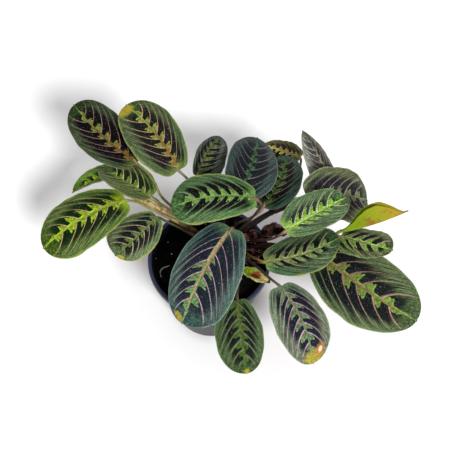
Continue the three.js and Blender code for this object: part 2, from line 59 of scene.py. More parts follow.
# The leaves, in millimetres, as the solids have them: blade base and tip, width, and the
# stalk's route up to the blade from a foot in the soil or from a place beside a shoot.
# droop arches a blade from base to tip; fold and cup raise its left and right halves at
# the midrib and turn them down again; bow curves it sideways; skew widens the left half;
# widest says where each half is widest; a blade with more than 0.5 at blunt has pointed
# ends.
LEAVES = {
    "leaf_01": dict(
        base=(-72, 85, 140), tip=(-135, 139, 162), width=54, bow=5.5, skew=-0.09, fold=(4, 5),
        widest=(0.51, 0.57), shoot="shoot_left", share=0.36, side=(-0.2, 0.8, 0.6),
        stalk=[(-47, 53, 128), (-53, 63, 136), (-61, 73, 140)]),
    "leaf_02": dict(
        base=(-29, 69, 150), tip=(-82, 133, 169), width=54, bow=-3.5, skew=0.09, fold=(1, 11),
        widest=(0.45, 0.63), foot=(3, 38), stalk=[(0, 41, 112), (-8, 47, 134), (-18, 58, 146)]),
    "leaf_03": dict(
        base=(-76, 91, 112), tip=(-140, 74, 103), width=43, bow=-4, skew=-0.14, droop=25,
        fold=(52, -6), cup=(15, 25), widest=(0.41, 0.45), shoot="shoot_left", share=0.86,
        side=(0.3, 0.9, 0.2), stalk=[(-75, 71, 119), (-77, 82, 115)]),
    "leaf_04": dict(
        base=(-82, 50, 126), tip=(-160, 5, 110), width=60, bow=-4, fold=(-9, 7), cup=(15, 25),
        widest=(0.63, 0.6), shoot="shoot_left", share=0.45, side=(0, -0.6, 0.8),
        stalk=[(-60, 43, 124), (-70, 47, 127)]),
    "leaf_05": dict(
        base=(-57, 50, 131), tip=(-106, 84, 128), width=50, skew=0.03, droop=25, fold=(46, 11),
        cup=(15, 35), widest=(0.33, 0.49), shoot="shoot_left", share=0.52, side=(-0.1, 0.3, 0.95),
        stalk=[(-53, 49, 127)]),
    "leaf_06": dict(
        base=(-52, 39, 112), tip=(-92, 4, 97), width=49, bow=2.5, skew=-0.16, fold=(-6, 7),
        widest=(0.54, 0.77), shoot="shoot_left", share=0.22, side=(0.3, -0.9, 0),
        stalk=[(-41, 34, 111)]),
    "leaf_07": dict(
        base=(44, 27, 165), tip=(-34, 21, 158), width=54, bow=-4.5, skew=-0.04, fold=(3, 7),
        widest=(0.62, 0.69), foot=(24, 30), stalk=[(34, 27, 116), (45, 24, 144), (49, 25, 158)]),
    "leaf_08": dict(
        base=(22, 4, 150), tip=(-23, -77, 117), width=66, bow=-3, skew=0.11, droop=35, fold=(4, 2),
        widest=(0.66, 0.43), foot=(15, 24), stalk=[(19, 18, 112), (24, 10, 134)]),
    "leaf_09": dict(
        base=(27, -50, 109), tip=(36, -109, 74), width=47, skew=-0.11, fold=(1, 0),
        widest=(0.52, 0.49), foot=(21, 10), stalk=[(25, -5, 102), (28, -26, 109)]),
    "leaf_10": dict(
        base=(68, -35, 108), tip=(98, -102, 82), width=50, bow=5, skew=-0.05, fold=(9, 2),
        widest=(0.57, 0.45), foot=(31, 5), stalk=[(39, -6, 104), (49, -18, 110), (58, -28, 111)]),
    "leaf_11": dict(
        base=(-12, 73, 135), tip=(9, 126, 128), width=33, bow=2, skew=-0.37, fold=(7, -5),
        widest=(0.58, 0.32), foot=(-5, 45), stalk=[(-6, 47, 110), (-9, 57, 127)]),
    "leaf_12": dict(
        base=(30, 40, 151), tip=(48, 127, 124), width=55, bow=-3.5, skew=-0.07, droop=35,
        fold=(9, -15), widest=(0.52, 0.4), foot=(13, 43), stalk=[(17, 41, 118), (23, 37, 140)]),
    "leaf_13": dict(
        base=(52, 35, 136), tip=(77, 112, 114), width=47, bow=-5.5, skew=0.05, fold=(-14, 15),
        widest=(0.56, 0.37), foot=(24, 41), stalk=[(34, 34, 114), (44, 31, 128)]),
    "leaf_14": dict(
        base=(92, 111, 112), tip=(54, 131, 107), width=45, droop=20, fold=(-10, -20), cup=(25, 10),
        shoot="shoot_back", share=0.8, side=(-0.5, 0.8, 0.1),
        stalk=[(84, 70, 121), (90, 90, 121)]),
    "leaf_15": dict(
        base=(121, 79, 118), tip=(92, 115, 151), width=39, bow=-1, skew=0.41, blunt=0.75, droop=20,
        fold=(32, 81), cup=(10, 10), widest=(0.16, 0.28), shoot="shoot_back", share=0.93,
        side=(0.6, -0.2, -0.75), stalk=[(101, 61, 119), (112, 70, 117)]),
    "leaf_16": dict(
        base=(92, 40, 150), tip=(156, 56, 116), width=58, bow=-3.5, skew=0.05, droop=60,
        fold=(22, -4), cup=(20, 30), widest=(0.53, 0.6), shoot="shoot_back", share=0.72,
        side=(0.2, -0.7, 0.7), stalk=[(84, 39, 136)]),
    "leaf_17": dict(
        base=(72, -3, 158), tip=(128, 29, 163), width=45, bow=-1, skew=0.08, droop=25,
        fold=(9, 17), cup=(25, 5), widest=(0.43, 0.49), foot=(38, 23),
        stalk=[(49, 12, 113), (61, 0, 138)]),
    "leaf_18": dict(
        base=(53, -20, 130), tip=(121, -3, 144), width=46, bow=-7, skew=0.12, fold=(-1, 0),
        widest=(0.58, 0.52), foot=(33, 14), stalk=[(38, 0, 106), (45, -13, 122)]),
    "leaf_19": dict(
        base=(124, 4, 135), tip=(169, -17, 146), width=45, bow=-2, skew=0.19, fold=(-15, 7),
        cup=(19, 7), widest=(0.61, 0.28), shoot="shoot_right", share=0.8, side=(0, 1, 0.2),
        stalk=[(110, 10, 123), (117, 8, 131)]),
    "leaf_20": dict(
        base=(105, -6, 120), tip=(194, -68, 102), width=78, bow=-6.5, skew=0.06, fold=(10, 3),
        widest=(0.42, 0.41), shoot="shoot_right", share=0.62, side=(0, -1, 0.1),
        stalk=[(97, -5, 117)]),
    "leaf_21": dict(
        base=(122, 3, 146), tip=(181, 9, 172), width=41, bow=-2.5, blunt=2.1, droop=0,
        fold=(59, 100), cup=(0, -10), widest=(0.61, 0.6), shoot="shoot_right", share=0.93,
        side=(0.3, -0.2, 0.9), stalk=[(114, 2, 125), (117, 2, 136)]),
    "dry_leaf_back": dict(
        base=(51, 26, 102), tip=(75, 22, 107), width=17, bow=2, droop=40, fold=(45, 40),
        cup=(30, 40), shoot="shoot_back", share=0.36, side=(0.1, -0.9, 0.1), stalk=[]),
    "dry_leaf_front": dict(
        base=(34, -11, 96), tip=(58, -29, 104), width=15, bow=-2, fold=(45, 50), cup=(60, 40),
        foot=(27, -2), stalk=[]),
}
LEAF_DEFAULTS = dict(
    droop=30, fold=(5, 5), cup=(25, 25), bow=0, skew=0, widest=(0.47, 0.47), blunt=0.5)

SHOOTS = {
    "shoot_left": dict(
        path=[(-12, 31, 93), (-20, 32, 102), (-32, 36, 110), (-45, 42, 117), (-58, 49, 121),
              (-71, 54, 121), (-80, 60, 120)],
        radii=(3.2, 1.8), sheaths=4),
    "shoot_back": dict(
        path=[(33, 33, 93), (44, 36, 106), (59, 41, 116), (74, 47, 122), (86, 52, 124)],
        radii=(3.4, 2.4), sheaths=3),
    "shoot_right": dict(
        path=[(41, 13, 93), (55, 11, 105), (76, 6, 111), (95, 4, 115), (110, 4, 118)],
        radii=(3, 1.9), sheaths=3),
}

# How each leaf looks: the colours of its margin, dark patches, pale feather, side veins and
# midrib, and its number of side veins. Then, where a leaf differs from the rest: how far out
# the dark patches reach on each half, the size of the feather's lobes, the width of its plain
# band and how far up only the band is seen, how toothed the lobes are, how strong the painted
# grey sheen lines on the margin are, how pale the skin beside a vein is, how tan the feather
# is near the stalk, where the midrib turns green, how pale the blade is where it joins the
# stalk, how far tip and edge have yellowed, a burnt spot, a painted grey glare, and the
# stalk's colours from foot to joint. The young leaf is painted on its own.
LOOKS = {
    "leaf_01": dict(
        colours=("#3b5028", "#070407", "#7a8a3e", "#955f68", "#74481a"), veins=7.2,
        dark_left=0.85, dark_right=0.85, plume=0.8, tan=0.7, rib_reach=0.5),
    "leaf_02": dict(
        colours=("#56703a", "#14130f", "#8ea046", "#ba7a78", "#8c5826"), veins=7.4, tan=0.45,
        tip_yellow=0.9, tip_side=0.35, edge_yellow=0.25, bloom=0.015,
        stalk=("#5a5044", "#86807a", "#86765c")),
    "leaf_03": dict(
        colours=("#8ec332", "#1b3208", "#d7fa34", "#7e834f", "#d2e050"), veins=6.5,
        dark_left=0.65, dark_right=0.65, band=0.06, halo=0.5),
    "leaf_04": dict(
        colours=("#608228", "#113809", "#a0be2a", "#ac866f", "#939538"), veins=7.0, band=0.08,
        teeth=1.4, heel=0.85, edge_yellow=0.3, stalk=("#86744a", "#8c8a44", "#b0b850")),
    "leaf_05": dict(
        colours=("#748e49", "#213f20", "#83a145", "#e0c192", "#75884e"), veins=6.5, dark_left=0.2,
        dark_right=0.72, stripes=0.4),
    "leaf_06": dict(
        colours=("#829d64", "#212a31", "#6d8642", "#be998c", "#797f4b"), veins=6.6,
        tip_yellow=0.45, tip_side=0.5, edge_yellow=0.8, stalk=("#5a4630", "#46502c", "#6e6e3e")),
    "leaf_07": dict(
        colours=("#639152", "#090e0f", "#80ab54", "#806666", "#6a864a"), veins=7.2, plume=1.15,
        # dark stalk: painted shade under the blades
        halo=0.15, heel=0.7, edge_yellow=0.4, stalk=("#241c18", "#3e3226", "#7a5a44")),
    # grey-green margin: partly painted glare
    "leaf_08": dict(
        colours=("#4c6f68", "#0c1b3b", "#739a5e", "#b07e8f", "#b78c6a"), veins=7.4,
        dark_left=0.88, dark_right=0.88, plume=1.25, band=0.09, band_only=0.34, tan=0.5,
        rib_reach=0.8, tip_yellow=0.35, tip_side=-0.45, bloom=0.03,
        # dark stalk: painted shade under the blades
        stalk=("#241c18", "#3e3226", "#8a6a4a")),
    "leaf_09": dict(
        colours=("#516f3b", "#111b1c", "#4a6a28", "#714f55", "#585d32"), veins=7.0, band=0.11,
        teeth=0.5, halo=0.6, tip_yellow=0.45, tip_side=0.1,
        # dark stalk: painted shade under the blades
        stalk=("#241c18", "#2e2a20", "#4e4a30")),
    # greyish margin: partly painted glare
    "leaf_10": dict(
        colours=("#8b9b7d", "#202a46", "#77976d", "#c07c9b", "#8d7a6c"), veins=7.0, dark_left=0.8,
        dark_right=0.78, plume=1.7, band=0.06, teeth=0.3, stripes=1.0, rib_reach=0.6, heel=0.7,
        tip_yellow=1.3, tip_side=0.1, scorch=1.0, stalk=("#2a2018", "#3a3022", "#6a6a44")),
    "leaf_11": dict(
        colours=("#677262", "#0e1218", "#617639", "#705769", "#636747"), veins=6.8, plume=1.6),
    "leaf_12": dict(
        colours=("#35514f", "#050918", "#406d3b", "#6e5c69", "#32432f"), veins=7.2, plume=0.45,
        # dark stalk: painted shade under the blades
        band=0.02, bloom=0.03, stalk=("#241c18", "#3e3226", "#8a6a54")),
    "leaf_13": dict(
        colours=("#58866d", "#0c1410", "#4c7330", "#a67172", "#435126"), veins=6.8,
        stalk=("#3a2a22", "#6a5444", "#9a7460")),
    "leaf_14": dict(
        colours=("#84803a", "#28180c", "#c4bc66", "#917044", "#a69563"), veins=6.5, plume=0.8,
        band=0.08, tan=0.3, stalk=("#3a2622", "#5a4438", "#8a6a54")),
    # pale grey colours: painted glare on a blade seen nearly edge-on
    "leaf_15": dict(
        colours=("#a8a896", "#655957", "#b2b090", "#a38a9c", "#d7d2a1"), veins=7.0, plume=0.5,
        stripes=1.0, halo=0.2, bloom=0.08, stalk=("#3a2622", "#5a4438", "#8a6a54")),
    # greyish colours: partly painted glare
    "leaf_16": dict(
        colours=("#6f7b4e", "#262d3e", "#899567", "#a9777e", "#5b574d"), veins=7.0, bloom=0.02,
        stalk=("#3a2622", "#5a4438", "#8a6a54")),
    "leaf_17": dict(
        colours=("#71975c", "#293737", "#a0ce53", "#c2b0a3", "#c1e276"), veins=7.0,
        dark_left=0.62, dark_right=0.34, plume=1.5, band=0.13, teeth=0.5, halo=0.5, heel=0.9,
        bloom=0.04, stalk=("#3a1e1c", "#5a3428", "#9a8a54")),
    "leaf_18": dict(
        colours=("#4f7647", "#162522", "#86a25d", "#b4807b", "#9b8f5e"), veins=7.0,
        dark_left=0.64, dark_right=0.6, plume=1.7, band=0.08, teeth=0.3, halo=0.35, heel=0.95,
        edge_yellow=0.5, stalk=("#3a2018", "#8c6a34", "#a08a4c")),
    "leaf_19": dict(
        colours=("#83985a", "#1a222c", "#9eca5c", "#ce96a4", "#796a4f"), veins=4.6, plume=2.6,
        band=0.09, teeth=0.6),
    "leaf_20": dict(
        colours=("#6a824c", "#090e20", "#80a043", "#9c5f6b", "#866a4c"), veins=6.0,
        dark_left=0.66, dark_right=0.95, plume=1.05, band=0.07, teeth=0.7, tan=0.3, rib_reach=0.7,
        bloom=0.015),
    "leaf_21": dict(veins=6.5),
}
LOOK_DEFAULTS = dict(
    tip_yellow=0.0, tip_side=0.0, edge_yellow=0.0, bloom=0.0, dark_left=0.78, dark_right=0.78,
    scorch=0.0, tan=0.15, halo=0.0, plume=1.0, band=0.04, band_only=0.0, teeth=1.0,
    stripes=0.95, rib_reach=0.4, heel=0.5)
STALK_COLOURS = ("#86744a", "#77803c", "#a07a58")
PATTERN_COLOURS = ("Margin", "Dark", "Feather", "Vein", "Rib")
YOUNG_LEAF = "leaf_21"

# Dry sheaths and leaf scraps at the crown, and papery sheath tips that lie on the left
# shoot: base, tip, width, arch, how far the two halves are rolled up, and sideways bend.
SCRAP_KEYS = ("base", "tip", "width", "droop", "fold", "bow")
LITTER = [
    ((36, 21, 95), (58, 13, 101), 9, 35, (50, 40), 2),
    ((34, 13, 94), (55, 4, 99), 11, 45, (30, 55), 3),
    ((40, 6, 93), (53, 10, 99), 10, 60, (60, 20), -2),
    ((44, 20, 95), (62, 20, 104), 8, 30, (40, 60), 1),
    ((38, -2, 93), (54, -7, 99), 7, 50, (45, 60), 2),
    ((30, 27, 94), (49, 27, 100), 9, 40, (55, 35), -3),
    ((46, 12, 95), (60, 2, 103), 6, 35, (60, 60), 1),
    ((31, 5, 92), (40, -7, 95), 8, 50, (40, 50), 1),
]

SHEATH_TIPS = [
    ((-29, 37, 113), (-42, 44, 121), 8, 10, (-30, -30), 0),
    ((-43, 44, 121), (-56, 54, 127), 7, 10, (-25, -30), 0),
    ((-59, 51, 125), (-71, 60, 127), 6, 10, (-30, -30), 0),
]

# A pale dead root on the soil.
ROOT_PATH = [(-47, -16, 90), (-48, -11, 91.4), (-45, -7, 91.8), (-39, -4, 91)]

# Stalks and shoots, in millimetres.
FOOT_Z = 72
STALK_FOOT_RADIUS = 2
STALK_NECK_RADIUS = 1.25
JOINT_RADIUS = 1.6
JOINT_LENGTH = 11
STALK_END_RADIUS = 1
SHEATH_STEP = 0.5
SEAT_GAP = 0.1

# The soil's surface, in millimetres, and the points of its mesh.
SOIL_TOP = 89
SOIL_FLOOR = 3.3
BED_SIDES = 120
BED_RINGS = 44

# The pot's small sizes, in metres: how far and how high the rim stands out, the rounding of
# the rim and of the base, the floor, and the drain holes.
RIM_STEP = 0.0036
RIM_HEIGHT = 0.007
ROLL = 0.0013
BASE_ROUND = 0.0008
FLOOR_TOP = 0.002
HOLES = 8
HOLE_RADIUS = 0.004
HOLE_CIRCLE = 0.029

# A side vein leaves the midrib at an angle and bends towards the tip: how far along the
# blade it has run, as a share of the length, at the edge, in two parts.
VEIN_LEAN = 0.14
VEIN_SWEEP = 0.42
# The smallest arch or cup, in degrees, that the blade's arithmetic can work with.
LEAST_TURN = 0.1

CAMERA_AIM = (0.027, 0.0233, 0.1)
KEY_PLACE = (0.55, -1.0, 1.0)
KEY_SPREAD = 0.24
FLOOR_HALF = 4.0


def srgb(code):
    """Linear red, green, blue and alpha of a #rrggbb colour."""
    parts = [int(code[k:k + 2], 16) / 255 for k in (1, 3, 5)]
    return [c / 12.92 if c <= 0.04045 else ((c + 0.055) / 1.055) ** 2.4 for c in parts] + [1.0]


def unit(vector):
    return vector / np.linalg.norm(vector)


# Node trees written as arithmetic.


class Field:
    """An output of a node tree. A number can be used in ordinary arithmetic."""

    def __init__(self, socket):
        self.socket = socket
        self.tree = socket.id_data

    def other(self, name):
        """Another output of the same node."""
        return Field(self.socket.node.outputs[name])

    def math(self, operation, *others):
        return add(self.tree, "ShaderNodeMath", (self, *others), operation=operation)

    def __neg__(self):
        return self * -1.0

    def __rsub__(self, other):
        return -self + other

    def rise(self, low, high):
        """0 up to low and 1 from high, with a smooth step between."""
        return add(self.tree, "ShaderNodeMapRange",
                   {"Value": self, "From Min": low, "From Max": high},
                   interpolation_type="SMOOTHSTEP")

    def fall(self, low, high):
        return 1.0 - self.rise(low, high)


def method(operation):
    return lambda field, *others: field.math(operation, *others)


for title, operation in {
        "__add__": "ADD", "__radd__": "ADD", "__mul__": "MULTIPLY", "__rmul__": "MULTIPLY",
        "__sub__": "SUBTRACT", "__truediv__": "DIVIDE", "__pow__": "POWER", "sin": "SINE",
        "cos": "COSINE", "exp": "EXPONENT", "sqrt": "SQRT", "size": "ABSOLUTE", "sign": "SIGN",
        "floor": "FLOOR", "fraction": "FRACT", "at_least": "MAXIMUM",
        "above": "GREATER_THAN"}.items():
    setattr(Field, title, method(operation))


def put(socket, item):
    """Links a field to a socket, or sets the socket to a plain value or a #rrggbb colour."""
    if isinstance(item, Field):
        socket.id_data.links.new(item.socket, socket)
    elif isinstance(item, str) and item.startswith("#"):
        socket.default_value = srgb(item)
    else:
        socket.default_value = item


def add(tree, kind, inputs=(), output=0, **settings):
    """One output of a new node, whose inputs are given by name or in order."""
    node = tree.nodes.new(kind)
    for title, choice in settings.items():
        setattr(node, title, choice)
    for place, item in inputs.items() if isinstance(inputs, dict) else enumerate(inputs):
        put(node.inputs[place], item)
    return Field(node.outputs[output])


def scaled(item, factor):
    """A vector or a colour times a number."""
    return add(item.tree, "ShaderNodeVectorMath", {0: item, "Scale": factor}, operation="SCALE")


def blend(share, first, second):
    """Colour between two colours."""
    tree = next(item.tree for item in (share, first, second) if isinstance(item, Field))
    return add(tree, "ShaderNodeMix", {0: share, 6: first, 7: second}, 2, data_type="RGBA")


def noise(vector, scale, detail=3.0, roughness=0.5):
    return add(vector.tree, "ShaderNodeTexNoise", {
        "Vector": vector, "Scale": scale, "Detail": detail, "Roughness": roughness})


def triple(x, y, z):
    return add(x.tree, "ShaderNodeCombineXYZ", (x, y, z))


def attribute(tree, name):
    return add(tree, "ShaderNodeAttribute", output="Fac", attribute_name=name)


def object_place(tree):
    return add(tree, "ShaderNodeTexCoord", output="Object")


SOCKET_KINDS = {str: "Color", tuple: "Vector", float: "Float", int: "Int",
                type(None): "Material"}


def key(title):
    """Name in the code for a socket: "Fold Left" becomes fold_left."""
    return title.lower().replace(" ", "_")


def new_tree(name, kind, inputs, outputs):
    """New node tree with its sockets and their defaults, and its inputs as fields."""
    tree = bpy.data.node_groups.new(name, kind)
    for side, sockets in (("OUTPUT", outputs), ("INPUT", inputs)):
        for title, default in sockets.items():
            sort = "Geometry" if title == "Geometry" else SOCKET_KINDS[type(default)]
            socket = tree.interface.new_socket(
                title, in_out=side, socket_type="NodeSocket" + sort)
            if default is not None:
                put(socket, default)
    source = tree.nodes.new("NodeGroupInput")
    return tree, SimpleNamespace(**{key(s.name): Field(s) for s in source.outputs if s.name})


# Geometry node trees.


def geometry_tree(name, inputs):
    return new_tree(name, "GeometryNodeTree", {"Geometry": None, **inputs}, {"Geometry": None})


def close_tree(geometry, *materials, smooth=True):
    """Ends a tree with real geometry and its materials, each with the faces that it is for."""
    tree = geometry.tree
    if smooth:
        geometry = add(tree, "GeometryNodeSetShadeSmooth", [geometry])
    geometry = add(tree, "GeometryNodeRealizeInstances", [geometry])
    for material, faces in materials:
        geometry = add(tree, "GeometryNodeSetMaterial", {
            "Geometry": geometry, "Selection": faces, "Material": material})
    put(tree.nodes.new("NodeGroupOutput").inputs[0], geometry)
    return tree


def run_tree(name, tree, values, mesh=None):
    """Plain object with the mesh that a geometry node tree makes from the values."""
    carrier = add_object(name + "_carrier", mesh or bpy.data.meshes.new(name))
    modifier = carrier.modifiers.new("Build", "NODES")
    modifier.node_group = tree
    for item in tree.interface.items_tree:
        if item.in_out == "INPUT" and key(item.name) in values:
            modifier[item.identifier] = values[key(item.name)]
    made = evaluated(carrier)
    bpy.data.objects.remove(carrier)
    made.name = name
    return add_object(name, made)


def store(geometry, name, item, kind="FLOAT", domain="POINT"):
    return add(geometry.tree, "GeometryNodeStoreNamedAttribute",
               {"Geometry": geometry, "Name": name, "Value": item},
               data_type=kind, domain=domain)


def stored(tree, name):
    return add(tree, "GeometryNodeInputNamedAttribute", {"Name": name}, "Attribute",
               data_type="FLOAT")


def blade_tree():
    """A leaf blade from its sizes: outline, arch, fold, side veins, midrib and edge."""
    tree, asked = geometry_tree("Leaf blade", {
        "Base": (0.0, 0.0, 0.0), "Forward": (1.0, 0.0, 0.0), "Left": (0.0, 1.0, 0.0),
        "Normal": (0.0, 0.0, 1.0), "Length": 0.08, "Width": 0.05, "Skew": 0.0,
        "Widest Left": 0.5, "Widest Right": 0.5, "Blunt": 0.5, "Droop": 0.5,
        "Fold Left": 0.1, "Fold Right": 0.1, "Cup Left": 0.4, "Cup Right": 0.4, "Bow": 0.0,
        "Wave": 0.0007, "Wave Phase": 0.0, "Uneven Edge": 0.014, "Lobe": 0.04,
        "Beak": 0.0009, "Side Veins": 7.0, "Vein Shift": 0.0, "Pleat Depth": 0.0009,
        "Crumple": 0.0, "Thickness": 0.0005, "Midrib Depth": 0.0013, "Columns": 57,
        "Rows": 91, "Upper Material": None, "Lower Material": None})
    grid = add(tree, "GeometryNodeMeshGrid", {
        "Size X": 2.0, "Size Y": 1.0, "Vertices X": asked.columns, "Vertices Y": asked.rows})
    flat = add(tree, "ShaderNodeSeparateXYZ", [add(tree, "GeometryNodeInputPosition")], "X")
    # columns crowd a little towards the midrib, rows towards the two ends
    across = -flat.sign() * flat.size() ** 1.15
    share = 0.5 - 0.5 * ((flat.other("Y") + 0.5) * math.pi).cos()
    away = across.size()
    is_right = 1.0 - across.above(-1e-6)
    side = 1.0 - 2.0 * is_right
    start = asked.wave_phase

    def either(left, right):
        return left + (right - left) * is_right

    # outline
    widest = either(asked.widest_left, asked.widest_right)
    reach = ((widest - share) / widest).at_least((share - widest) / (1.0 - widest))
    body = ((1.0 - reach ** 2.15).at_least(0.0) ** asked.blunt).at_least(0.02)
    half = asked.width * 0.5
    uneven = (share * 9.0 + 2.0 * side + start).sin()
    uneven = uneven + 0.6 * (share * 23.0 - 3.0 * side + start).sin()
    body = body * (1.0 + asked.uneven_edge * uneven)
    out = away * half * (1.0 + asked.skew * side) * body

    # arch from base to tip
    bent = asked.droop * 0.5
    turn = asked.droop * (0.5 - share)
    chord = asked.length / (2.0 * bent.sin())
    along = chord * (bent.sin() - turn.sin())
    rise = chord * (turn.cos() - bent.cos())

    # fold at the midrib and curve of each half
    fold = either(asked.fold_left, asked.fold_right)
    bend = half / either(asked.cup_left, asked.cup_right)
    turned = fold - out / bend
    outward = bend * (fold.sin() - turned.sin())
    raised = bend * (turned.cos() - fold.cos())

    # side veins: where each leaves the midrib and its count, arching towards the tip
    spread = away * (0.35 + 0.65 * body)
    reached = share - VEIN_LEAN * spread - VEIN_SWEEP * spread * spread
    shift = asked.vein_shift
    phase = (reached + 0.07 * (reached * math.pi).sin()
             + 0.014 * (reached * 9.0 + shift * 3.0 + side).sin()
             + 0.007 * (reached * 23.0 + shift * 5.0 - side).sin()) * asked.side_veins
    phase = phase + shift + 0.42 * is_right
    to_vein = 0.5 - (phase.fraction() - 0.5).size()
    ends = (share * math.pi).sin()
    pleat = asked.pleat_depth * (to_vein.rise(0.0, 0.3) - 0.5)
    pleat = pleat * away.rise(0.03, 0.2) * away.fall(0.75, 1.0) * ends
    groove = asked.pleat_depth * -1.2 * away.fall(0.0, 0.07) * ends

    # waves and ripples of the edge, heart-shaped base, beak at the tip and sideways bend
    wave = asked.wave * away * away * ends * (share * 12.0 + side + start).sin()
    ripple = asked.wave * 0.5 * away ** 4.0 * ends
    ripple = ripple * (share * 41.0 + 2.0 * side + start).sin()
    near = share / 0.05
    back = asked.length * asked.lobe * near * (1.0 - near).exp() * away
    beak = asked.beak * share.rise(0.965, 1.0) * away.fall(0.0, 0.35)
    bow = asked.bow * 4.0 * share * (1.0 - share)
    crumple = (noise(triple(across * 1.6, share * 5.0, start), 2.4) - 0.5) * asked.crumple

    height = raised + wave + ripple + pleat + groove + crumple
    forward_by = along + (beak - back) * turn.cos() - height * turn.sin()
    upward_by = rise + (beak - back) * turn.sin() + height * turn.cos()
    point = scaled(asked.forward, forward_by)
    for step in (scaled(asked.normal, upward_by), scaled(asked.left, bow + side * outward),
                 asked.base):
        point = add(tree, "ShaderNodeVectorMath", (point, step), operation="ADD")

    geometry = store(grid, "across", across)
    for title, item in (("along", share), ("vein", phase), ("vein_root", reached)):
        geometry = store(geometry, title, item)
    leaf_map = triple(across * 0.5 + 0.5, share, 0.0)
    geometry = store(geometry, "leaf_map", leaf_map, "FLOAT2", "CORNER")
    face = add(tree, "GeometryNodeSetPosition", {"Geometry": geometry, "Position": point})

    # the underside: the same face moved down, joined by the rim
    rib = asked.midrib_depth * (1.0 - 0.8 * stored(tree, "along"))
    rib = rib * stored(tree, "across").size().fall(0.0, 0.11)
    lower = add(tree, "GeometryNodeExtrudeMesh", {
        "Mesh": face, "Offset Scale": -(asked.thickness + rib), "Individual": False},
        mode="FACES")
    both = add(tree, "GeometryNodeJoinGeometry", [face])
    put(both.socket.node.inputs[0], add(tree, "GeometryNodeFlipFaces", [lower]))
    weld = add(tree, "GeometryNodeMergeByDistance", {"Geometry": both, "Distance": 1e-6})
    below = add(tree, "FunctionNodeBooleanMath", (lower.other("Top"), lower.other("Side")),
                operation="OR")
    return close_tree(weld, (asked.upper_material, True), (asked.lower_material, below))


def stem_tree():
    """A stem of changing thickness that follows a path."""
    tree, asked = geometry_tree("Stem along a path", {
        "Thickness": 1.0, "Sides": 14, "Material": None})
    curve = add(tree, "GeometryNodeMeshToCurve", [asked.geometry])
    ring = add(tree, "GeometryNodeCurvePrimitiveCircle", {
        "Radius": 1.0, "Resolution": asked.sides})
    sweep = add(tree, "GeometryNodeCurveToMesh", {
        "Curve": curve, "Profile Curve": ring, "Fill Caps": True,
        "Scale": stored(tree, "stem_radius") * asked.thickness})
    return close_tree(sweep, (asked.material, True))


def crumb_tree():
    """Crumbs scattered over a surface."""
    tree, asked = geometry_tree("Soil crumbs", {
        "Density": 60000.0, "Smallest": 0.0006, "Largest": 0.0022, "Seed": 3,
        "Material": None})
    points = add(tree, "GeometryNodeDistributePointsOnFaces", {
        "Mesh": asked.geometry, "Density": asked.density, "Seed": asked.seed})
    lump = add(tree, "GeometryNodeMeshIcoSphere", {"Radius": 1.0, "Subdivisions": 1})
    draw = "FunctionNodeRandomValue"
    spin = add(tree, draw, {1: (6.28, 6.28, 6.28), "Seed": asked.seed},
               data_type="FLOAT_VECTOR")
    grow = add(tree, draw, {2: asked.smallest, 3: asked.largest, "Seed": asked.seed + 7.0}, 1,
               data_type="FLOAT")
    stretch = add(tree, draw, {0: (0.6, 0.6, 0.5), 1: (1.3, 1.1, 0.9)},
                  data_type="FLOAT_VECTOR")
    crumbs = add(tree, "GeometryNodeInstanceOnPoints", {
        "Points": points, "Instance": lump, "Rotation": spin, "Scale": scaled(stretch, grow)})
    return close_tree(crumbs, (asked.material, True), smooth=False)


# Shapes.


def add_object(name, data):
    piece = bpy.data.objects.new(name, data)
    bpy.context.scene.collection.objects.link(piece)
    return piece


def evaluated(piece):
    """The mesh that a piece's modifiers make; the piece loses the modifiers."""
    depsgraph = bpy.context.evaluated_depsgraph_get()
    made = bpy.data.meshes.new_from_object(piece.evaluated_get(depsgraph))
    piece.modifiers.clear()
    return made


def smooth_path(points, steps=6):
    """Centripetal curve through the points, as an array of points."""
    points = [np.array(p, float) for p in points]
    ends = [2 * points[0] - points[1], *points, 2 * points[-1] - points[-2]]
    made = []
    for four in zip(ends, ends[1:], ends[2:], ends[3:]):
        gaps = [np.linalg.norm(b - a) ** 0.5 for a, b in zip(four, four[1:])]
        times = [sum(gaps[:k]) for k in range(4)]
        for step in range(steps):
            t = times[1] + gaps[1] * step / steps
            row = four
            # pairs of neighbours are mixed over one gap, then over two, then over the middle one
            for first, span in ((0, 1), (0, 2), (1, 1)):
                row = [((times[k + span] - t) * a + (t - times[k]) * b)
                       / (times[k + span] - times[k])
                       for k, (a, b) in enumerate(zip(row, row[1:]), first)]
            made.append(row[0])
    made.append(points[-1])
    return np.array(made)


def shares_of(path):
    """Share of the whole length at each point of a path, and the length."""
    steps = np.linalg.norm(np.diff(path, axis=0), axis=1)
    distance = np.concatenate([[0], np.cumsum(steps)])
    return distance / distance[-1], distance[-1]


def point_at(path, share):
    shares, _ = shares_of(path)
    return np.array([np.interp(share, shares, path[:, k]) for k in range(3)])


def from_soil(foot, rest):
    return [(*foot[:2], z) for z in (FOOT_Z, FOOT_Z + 9, SOIL_TOP + 3)] + list(rest)


def shoot_path(shoot):
    return smooth_path(from_soil(shoot["path"][0], shoot["path"][1:]), 12)


def shoot_radius(shoot, share):
    low, high = shoot["radii"]
    in_sheath = (share * shoot["sheaths"]) % 1
    return low + (high - low) * share + SHEATH_STEP * (1 - in_sheath)


def blade_axes(leaf):
    """Directions towards the tip, to the left and up from a blade, and its length."""
    chord = np.array(leaf["tip"], float) - np.array(leaf["base"], float)
    forward = unit(chord)
    left = unit(np.cross([0, 0, 1], forward))
    return forward, left, np.cross(forward, left), np.linalg.norm(chord)


